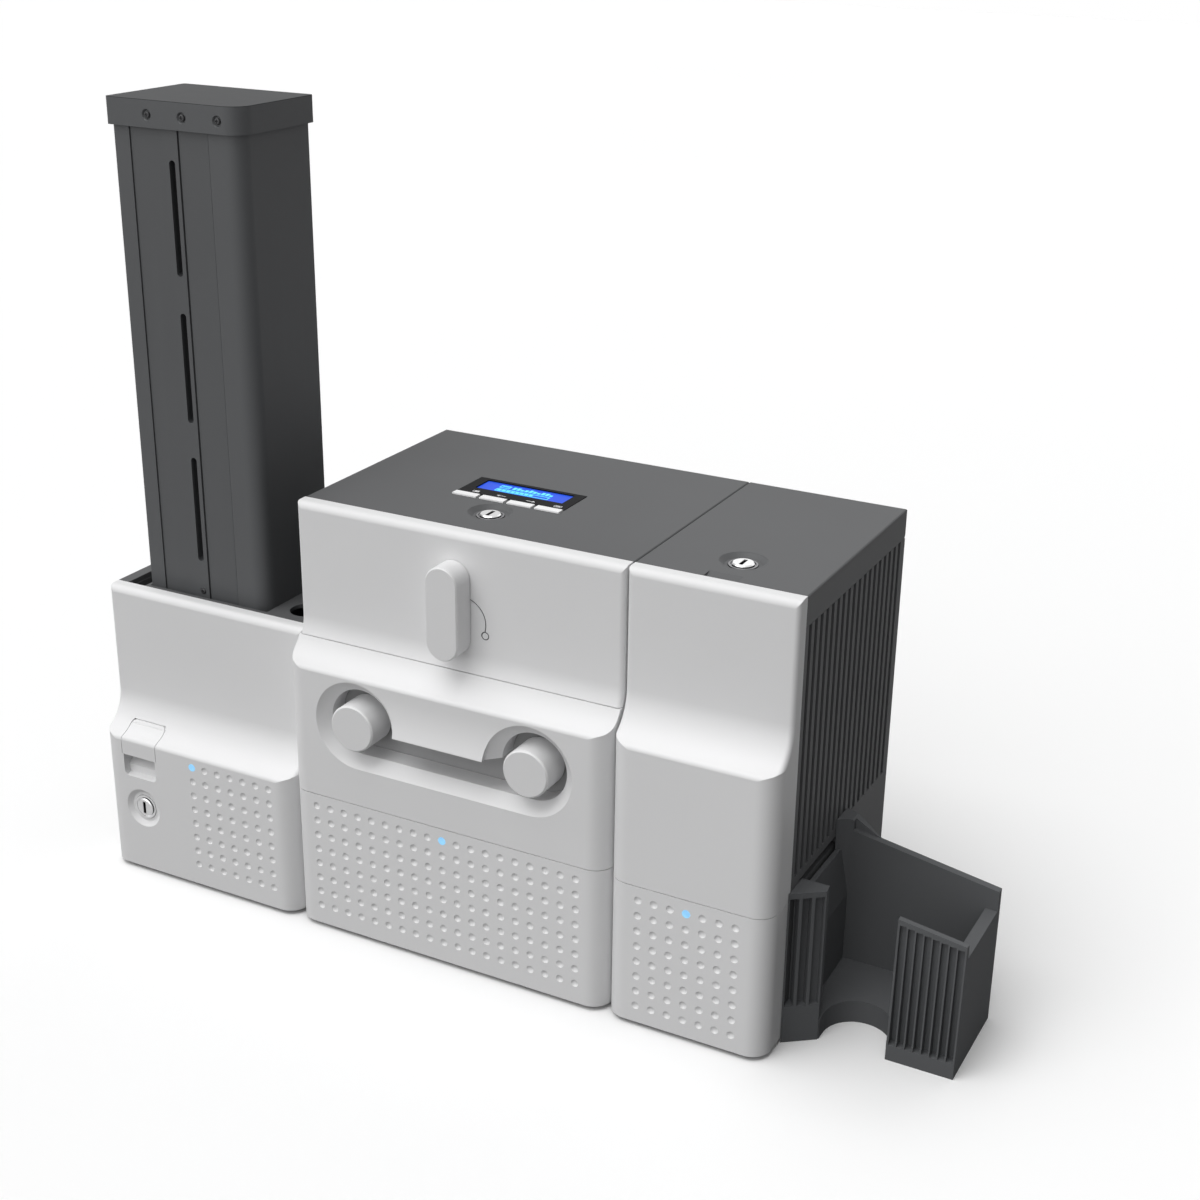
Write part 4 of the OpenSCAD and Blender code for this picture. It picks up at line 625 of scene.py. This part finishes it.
class PRINTER_OT_dark_housings(bpy.types.Operator):
    """Dark grained housings, lids, deck and ribbed side"""
    bl_idname = "printer.dark_housings"
    bl_label = "Dark housings"

    def execute(self, context):
        base = context.scene.printer_colours.housing
        grain = context.scene.printer_sizes.grain
        dark = grained_dark("housing_dark", base, grain)
        wear(dark, "feeder_chassis", "feeder_deck", "printer_chassis", "printer_lid", "flipper_chassis",
             "flipper_lid", "flipper_side_panel")
        return {"FINISHED"}


class PRINTER_OT_card_tower(bpy.types.Operator):
    """Satin dark card tower, its cap and strip, the output tray and the card weight"""
    bl_idname = "printer.card_tower"
    bl_label = "Card tower and tray"

    def execute(self, context):
        base = context.scene.printer_colours.tower
        wear(satin_dark("tower_dark", base), "hopper_tower")
        cap_top = max(v.co.z for v in NODES["hopper_cap"].data.vertices)
        wear(satin_dark("cap_dark", base, 0.42, cap_top - 0.0004), "hopper_cap")
        wear(satin_dark("tower_strip", shaded(base, 0.95), 0.4), "hopper_front_panel")
        # The tray's colour is the tower's raised by 15%, painted light for the tray's inside, which the lamps
        # leave darker
        wear(grained_dark("tray_dark", shaded(base, 1.15), 0.0007, 0.62, 0.00002, 0.1), "output_tray")
        wear(cassette_finish("cassette_dark", shaded(base, 1.6)), "ribbon_frame")
        wear(sheet_metal("weight_metal", (0.5, 0.51, 0.53), (14, 1, 1), 0.38), "card_weight")
        return {"FINISHED"}


class PRINTER_OT_feed_parts(bpy.types.Operator):
    """Feed table, pick roller, gears and motor in the input housing"""
    bl_idname = "printer.feed_parts"
    bl_label = "Feed parts"

    def execute(self, context):
        table = context.scene.printer_colours.table
        wear(grained_dark("table_grey", table, 0.0006, 0.45, 0.00001), "feed_table")
        wear(nylon("drum_grey", (0.42, 0.43, 0.43)), "flipper_drum")
        wear(nylon("gear_nylon", (0.8, 0.77, 0.68)), "pick_gear")
        wear(sheet_metal("pinion_brass", (0.7, 0.5, 0.2), (1, 8, 1), 0.3), "motor_pinion")
        wear(motor_finish("motor_black"), "feed_motor")
        wear(roller_finish("pick_rubber", TOWER_X, 84.92, 3.0), "pick_roller")
        return {"FINISHED"}


class PRINTER_OT_print_parts(bpy.types.Operator):
    """Steel frames, cam shaft, print head and card rollers"""
    bl_idname = "printer.print_parts"
    bl_label = "Print parts"

    def execute(self, context):
        wear(sheet_metal("frame_plate", (0.56, 0.57, 0.59), (14, 14, 1), 0.36),
             "print_frame", "flipper_frame")
        wear(sheet_metal("bracket_plate", (0.5, 0.51, 0.53), (1, 14, 1), 0.34), "head_bracket")
        wear(sheet_metal("shaft_steel", (0.55, 0.55, 0.57), (8, 1, 8), 0.24), "cam_shaft")
        wear(sheet_metal("pin_steel", (0.6, 0.6, 0.62), (1, 1, 8), 0.28), "hinge_pins")
        wear(head_finish("head_block"), "print_head")
        wear(roller_finish("platen_rubber", PRINT_X, 84.62, 4.0), "platen_roller")
        wear(roller_finish("inlet_rubber", 13, 86.62, 3.0), "inlet_roller")
        wear(roller_finish("outlet_rubber", 204, 86.62, 3.0), "outlet_roller")
        return {"FINISHED"}


class PRINTER_OT_ribbon(bpy.types.Operator):
    """Dye film in its colour panels, and the two wound rolls"""
    bl_idname = "printer.ribbon"
    bl_label = "Ribbon"

    def execute(self, context):
        left, right = (at(x, 0, 0).x for x in SPOOL_X)

        def along(f):
            return ((f.x - left) / (right - left) * 0.9 + (f.z - 0.096) * 4).math("FRACT")

        wear(ribbon_finish("ribbon_film", along), "ribbon_film")
        wear(wound_film("ribbon_supply", SPOOL_X[0], (0.5, 0.36, 0.05)), "supply_roll")
        wear(wound_film("ribbon_takeup", SPOOL_X[1], (0.12, 0.04, 0.16)), "takeup_roll")
        return {"FINISHED"}


class PRINTER_OT_locks(bpy.types.Operator):
    """Bright lock plugs and barrels"""
    bl_idname = "printer.locks"
    bl_label = "Locks"

    def execute(self, context):
        front = min(v.co.y for v in NODES["feeder_lock_plug"].data.vertices)
        top = max(v.co.z for v in NODES["printer_lock_plug"].data.vertices)
        wear(lock_chrome("plug_chrome", lambda f: f.y - front), "feeder_lock_plug")
        wear(lock_chrome("lid_plug_chrome", lambda f: top - f.z), "printer_lock_plug", "flipper_lock_plug")
        wear(lock_chrome("barrel_chrome"), "feeder_lock_barrel")
        wear(sheet_metal("lock_barrel", (0.3, 0.3, 0.31), (1, 1, 6), 0.3), "printer_lock_barrel",
             "flipper_lock_barrel")
        return {"FINISHED"}


class PRINTER_OT_display(bpy.types.Operator):
    """Black display surround, lit blue screen, its figures and the marks over the buttons"""
    bl_idname = "printer.display"
    bl_label = "Display"

    def execute(self, context):
        colours = context.scene.printer_colours
        wear(gloss_black("bezel_black"), "display_bezel")
        wear(screen_glass("screen_blue", colours.screen), "display_screen")
        screen_top = BODY_TOP - 0.4

        def slab(x0, x1, y0, y1, z0, z1):
            return add_block(at(x0, y0, z0), at(x1, y1, z1))

        # Upper row: a card sign and level bars. Lower row: an outlined progress bar.
        figures = []
        middle = PRINT_X - 0.2
        low, high = screen_top, screen_top + 0.12

        def block(x0, x1, y0, y1):
            figures.append(slab(x0, x1, y0, y1, low, high))

        def outline(x0, x1, y0, y1, line):
            block(x0, x1, y0, y0 + line)
            block(x0, x1, y1 - line, y1)
            block(x0, x0 + line, y0 + line, y1 - line)
            block(x1 - line, x1, y0 + line, y1 - line)

        outline(middle - 18.2, middle - 11.4, 100.6, 104.9, 0.6)
        block(middle - 17, middle - 12.6, 102.9, 103.7)
        for i in range(10):
            x = middle - 9.4 + i * 2.8
            block(x, x + 2.1, 100.6, 102.2 + 2.7 * abs(math.sin(1.1 + i * 0.9)))
        outline(middle - 18.2, middle + 18.0, 94.6, 98.9, 0.6)
        for i in range(8):
            x = middle - 17 + i * 3.1
            block(x, x + 2.4, 95.7, 97.8)
        finish_piece(join_pieces(figures), "screen_figures", screen_ink("screen_cyan", colours.figures),
                     "lid")

        # Marks on the surround, over the four buttons
        white = printed("mark_white", (0.9, 0.9, 0.92))
        top = BODY_TOP + 0.3
        marks = []
        row_y = 85.9

        def bar(x0, x1, y0, y1):
            marks.append(slab(x0, x1, y0, y1, top - 0.02, top + 0.06))

        def head(x, side):
            deselect()
            bpy.ops.mesh.primitive_cylinder_add(vertices=3, radius=1.3 * MM, depth=0.08 * MM,
                                                location=at(x, row_y, top + 0.02),
                                                rotation=(0, 0, side * math.pi / 2))
            bpy.ops.object.transform_apply(location=True, rotation=True, scale=True)
            marks.append(bpy.context.object)

        centres = [middle + (i - 1.5) * 18.65 for i in range(4)]
        x = centres[0] + 2.6
        for y0 in (row_y - 1.2, row_y + 0.9):
            bar(x - 2.2, x + 2.2, y0, y0 + 0.35)
        bar(x - 2.2, x - 1.85, row_y - 1.2, row_y + 1.25)
        bar(x - 0.9, x + 2.2, row_y - 0.5, row_y + 0.5)
        for i, side in ((1, 1), (2, -1)):
            x = centres[i] + 2.0
            bar(x - 2.4, x + 2.4, row_y - 0.22, row_y + 0.22)
            head(x - side * 2.4, side)
        x = centres[3] + 2.4
        for y0 in (row_y - 1.3, row_y + 0.95):
            bar(x - 2.6, x + 2.6, y0, y0 + 0.35)
        for x0 in (x - 2.6, x + 2.25):
            bar(x0, x0 + 0.35, row_y - 1.3, row_y + 1.3)
        bar(x - 1.5, x + 1.5, row_y - 0.3, row_y + 0.3)
        finish_piece(join_pieces(marks), "button_marks", white, "lid")
        return {"FINISHED"}


class PRINTER_OT_electrics(bpy.types.Operator):
    """Circuit board, rear sockets, rocker switch and status lights"""
    bl_idname = "printer.electrics"
    bl_label = "Electrics"

    def execute(self, context):
        colours = context.scene.printer_colours
        wear(board_finish("board_green", colours.board), "main_board")
        wear(satin_dark("socket_black", (0.022, 0.022, 0.024), 0.4), "rear_sockets", "power_switch")
        wear(lamp_lens("lamp_blue", colours.lamp, 0.9), "feeder_light", "status_lights")
        return {"FINISHED"}


class PRINTER_OT_screws(bpy.types.Operator):
    """Cross-recess screws of the cap, the tower foot, the board and the frames"""
    bl_idname = "printer.screws"
    bl_label = "Screws"

    def execute(self, context):
        radius = context.scene.printer_sizes.screw
        black = sheet_metal("screw_black", (0.06, 0.06, 0.063), (1, 1, 1), 0.5, 0.3)
        zinc = sheet_metal("screw_zinc", (0.6, 0.6, 0.6), (1, 1, 1), 0.3)
        pattern = cross_screw(radius, 0.0013)
        front, up = (0, -1, 0), (0, 0, 1)
        groups = {
            "cap_screws": (black, "hopper", "tower_dark",
                           [((TOWER_X + 7.4 + i * 25.4, 37.15, 485.9), front) for i in (-1, 0, 1)]),
            "foot_screw": (black, "hopper", "tower_dark", [((-90.7, 38.95, 192.7), front)]),
            "board_screws": (zinc, "machine", "steel",
                             [((x, 163, z), front) for x in (25.5, 191.5) for z in (65, 145)]),
            "head_screws": (zinc, "head", "steel",
                            [((PRINT_X + sx * 13.5, y, 246.8), up) for sx in (-1, 1) for y in (54, 94)]),
        }
        for name, (material, body, slot, spots) in groups.items():
            screws = []
            for spot, facing in spots:
                screw = copy_piece(pattern)
                place_piece(screw, at(*spot), facing)
                screws.append(screw)
            finish_piece(join_pieces(screws), name, material, body)
        bpy.data.objects.remove(pattern)
        return {"FINISHED"}


class PRINTER_OT_feet(bpy.types.Operator):
    """Rubber feet"""
    bl_idname = "printer.feet"
    bl_label = "Feet"

    def execute(self, context):
        wear(soft_rubber("foot_rubber"), "rubber_feet")
        return {"FINISHED"}


class PRINTER_OT_stage(bpy.types.Operator):
    """Pale floor, soft studio light, white surroundings and the camera"""
    bl_idname = "printer.stage"
    bl_label = "Stage"

    def execute(self, context):
        scene = context.scene
        scene.view_settings.view_transform = "Standard"
        deselect()
        bpy.ops.mesh.primitive_plane_add(size=14, location=(0, 0, 0))
        floor = context.object
        floor.name = "floor"
        f = Finish("floor_pale")
        # The paper is paler where the camera sees it than in the light it throws back
        cloud = f.noise(0.6, 2.0)
        paper = f.mix(cloud, (0.985, 0.985, 0.985), (0.965, 0.965, 0.966))
        path = f.node("ShaderNodeLightPath")
        seen = path.out("Is Camera Ray") + path.out("Is Glossy Ray") * 0.5
        seen = (seen + path.out("Is Transmission Ray")).clamp()
        f.set(Base_Color=f.mix(seen, (0.12, 0.12, 0.12), paper), Roughness=0.9, Specular_IOR_Level=0.0)
        floor.data.materials.append(f.material)

        # Surroundings: brighter above and to the left, white where the camera looks
        world = bpy.data.worlds.new("studio")
        scene.world = world
        world.use_nodes = True
        nodes, links = world.node_tree.nodes, world.node_tree.links
        nodes.clear()
        place = nodes.new("ShaderNodeTexCoord")
        split = nodes.new("ShaderNodeSeparateXYZ")
        links.new(place.outputs["Generated"], split.inputs[0])

        def sum_of(operation, a, b):
            made = nodes.new("ShaderNodeMath")
            made.operation = operation
            for socket, value in zip(made.inputs, (a, b)):
                if isinstance(value, (int, float)):
                    socket.default_value = value
                else:
                    links.new(value, socket)
            return made.outputs[0]

        rise = sum_of("MAXIMUM", split.outputs["Z"], 0.0)
        level = sum_of("ADD", sum_of("MULTIPLY", rise, 0.13), 0.16)
        level = sum_of("SUBTRACT", level, sum_of("MULTIPLY", split.outputs["X"], 0.075))
        path = nodes.new("ShaderNodeLightPath")
        glossy = sum_of("MULTIPLY", path.outputs["Is Glossy Ray"], 0.6)
        seen = sum_of("MAXIMUM", path.outputs["Is Camera Ray"], glossy)
        seen = sum_of("MAXIMUM", seen, path.outputs["Is Transmission Ray"])
        strength = nodes.new("ShaderNodeMix")
        links.new(seen, strength.inputs["Factor"])
        links.new(level, strength.inputs["A"])
        strength.inputs["B"].default_value = 1.0
        background = nodes.new("ShaderNodeBackground")
        background.inputs["Color"].default_value = (1, 1, 1, 1)
        links.new(strength.outputs["Result"], background.inputs["Strength"])
        output = nodes.new("ShaderNodeOutputWorld")
        links.new(background.outputs[0], output.inputs["Surface"])

        # Sun lamps: the side they shine from, strength, and the spread of their light in degrees
        for name, toward, energy, spread in (("overhead", (-0.26, -0.22, 1.0), 1.85, 50),
                                             ("front_fill", (-0.2, -1.0, 0.35), 1.45, 80),
                                             ("back_fill", (0.1, 1.0, 0.55), 0.4, 60)):
            lamp = bpy.data.lights.new(name, "SUN")
            lamp.energy = energy
            lamp.angle = math.radians(spread)
            holder = bpy.data.objects.new(name, lamp)
            holder.rotation_euler = Vector(toward).to_track_quat("Z", "Y").to_euler()
            scene.collection.objects.link(holder)

        # Camera of the photograph, as fitted: angles in radians, place in row-frame metres
        yaw, pitch, roll = 0.478, 0.388, 0.014
        eye = (0.49895, -0.90074, 0.63409)
        forward = Vector((-math.sin(yaw) * math.cos(pitch), math.cos(yaw) * math.cos(pitch),
                          -math.sin(pitch)))
        right = Vector((math.cos(yaw), math.sin(yaw), 0))
        up = right.cross(forward)
        across = math.cos(roll) * right + math.sin(roll) * up
        upright = math.cos(roll) * up - math.sin(roll) * right
        data = bpy.data.cameras.new("camera")
        data.lens = scene.printer_sizes.lens
        data.sensor_width = 36
        camera = bpy.data.objects.new("camera", data)
        turn = Matrix((across, upright, -forward)).transposed().to_4x4()
        camera.matrix_world = Matrix.Translation(eye) @ turn
        scene.collection.objects.link(camera)
        scene.camera = camera
        return {"FINISHED"}


class PRINTER_PT_looks(bpy.types.Panel):
    bl_label = "Card printer"
    bl_idname = "PRINTER_PT_looks"
    bl_space_type = "VIEW_3D"
    bl_region_type = "UI"
    bl_category = "Card Printer"

    def draw(self, context):
        column = self.layout.column()
        for group in (context.scene.printer_colours, context.scene.printer_sizes):
            for name in group.__annotations__:
                column.prop(group, name)
        for step in STEPS:
            column.operator(step.bl_idname)


GROUPS = (PrinterColours, PrinterSizes)
STEPS = (
    PRINTER_OT_white_covers, PRINTER_OT_dark_housings, PRINTER_OT_card_tower, PRINTER_OT_feed_parts,
    PRINTER_OT_print_parts, PRINTER_OT_ribbon, PRINTER_OT_locks, PRINTER_OT_display,
    PRINTER_OT_electrics, PRINTER_OT_screws, PRINTER_OT_feet, PRINTER_OT_stage,
)


def register():
    for item in (*GROUPS, *STEPS, PRINTER_PT_looks):
        bpy.utils.register_class(item)
    bpy.types.Scene.printer_colours = bpy.props.PointerProperty(type=PrinterColours)
    bpy.types.Scene.printer_sizes = bpy.props.PointerProperty(type=PrinterSizes)


def unregister():
    del bpy.types.Scene.printer_sizes
    del bpy.types.Scene.printer_colours
    for item in reversed((*GROUPS, *STEPS, PRINTER_PT_looks)):
        bpy.utils.unregister_class(item)


def main():
    register()
    for step in STEPS:
        group, name = step.bl_idname.split(".")
        getattr(getattr(bpy.ops, group), name)()


if __name__ == "__main__":
    main()
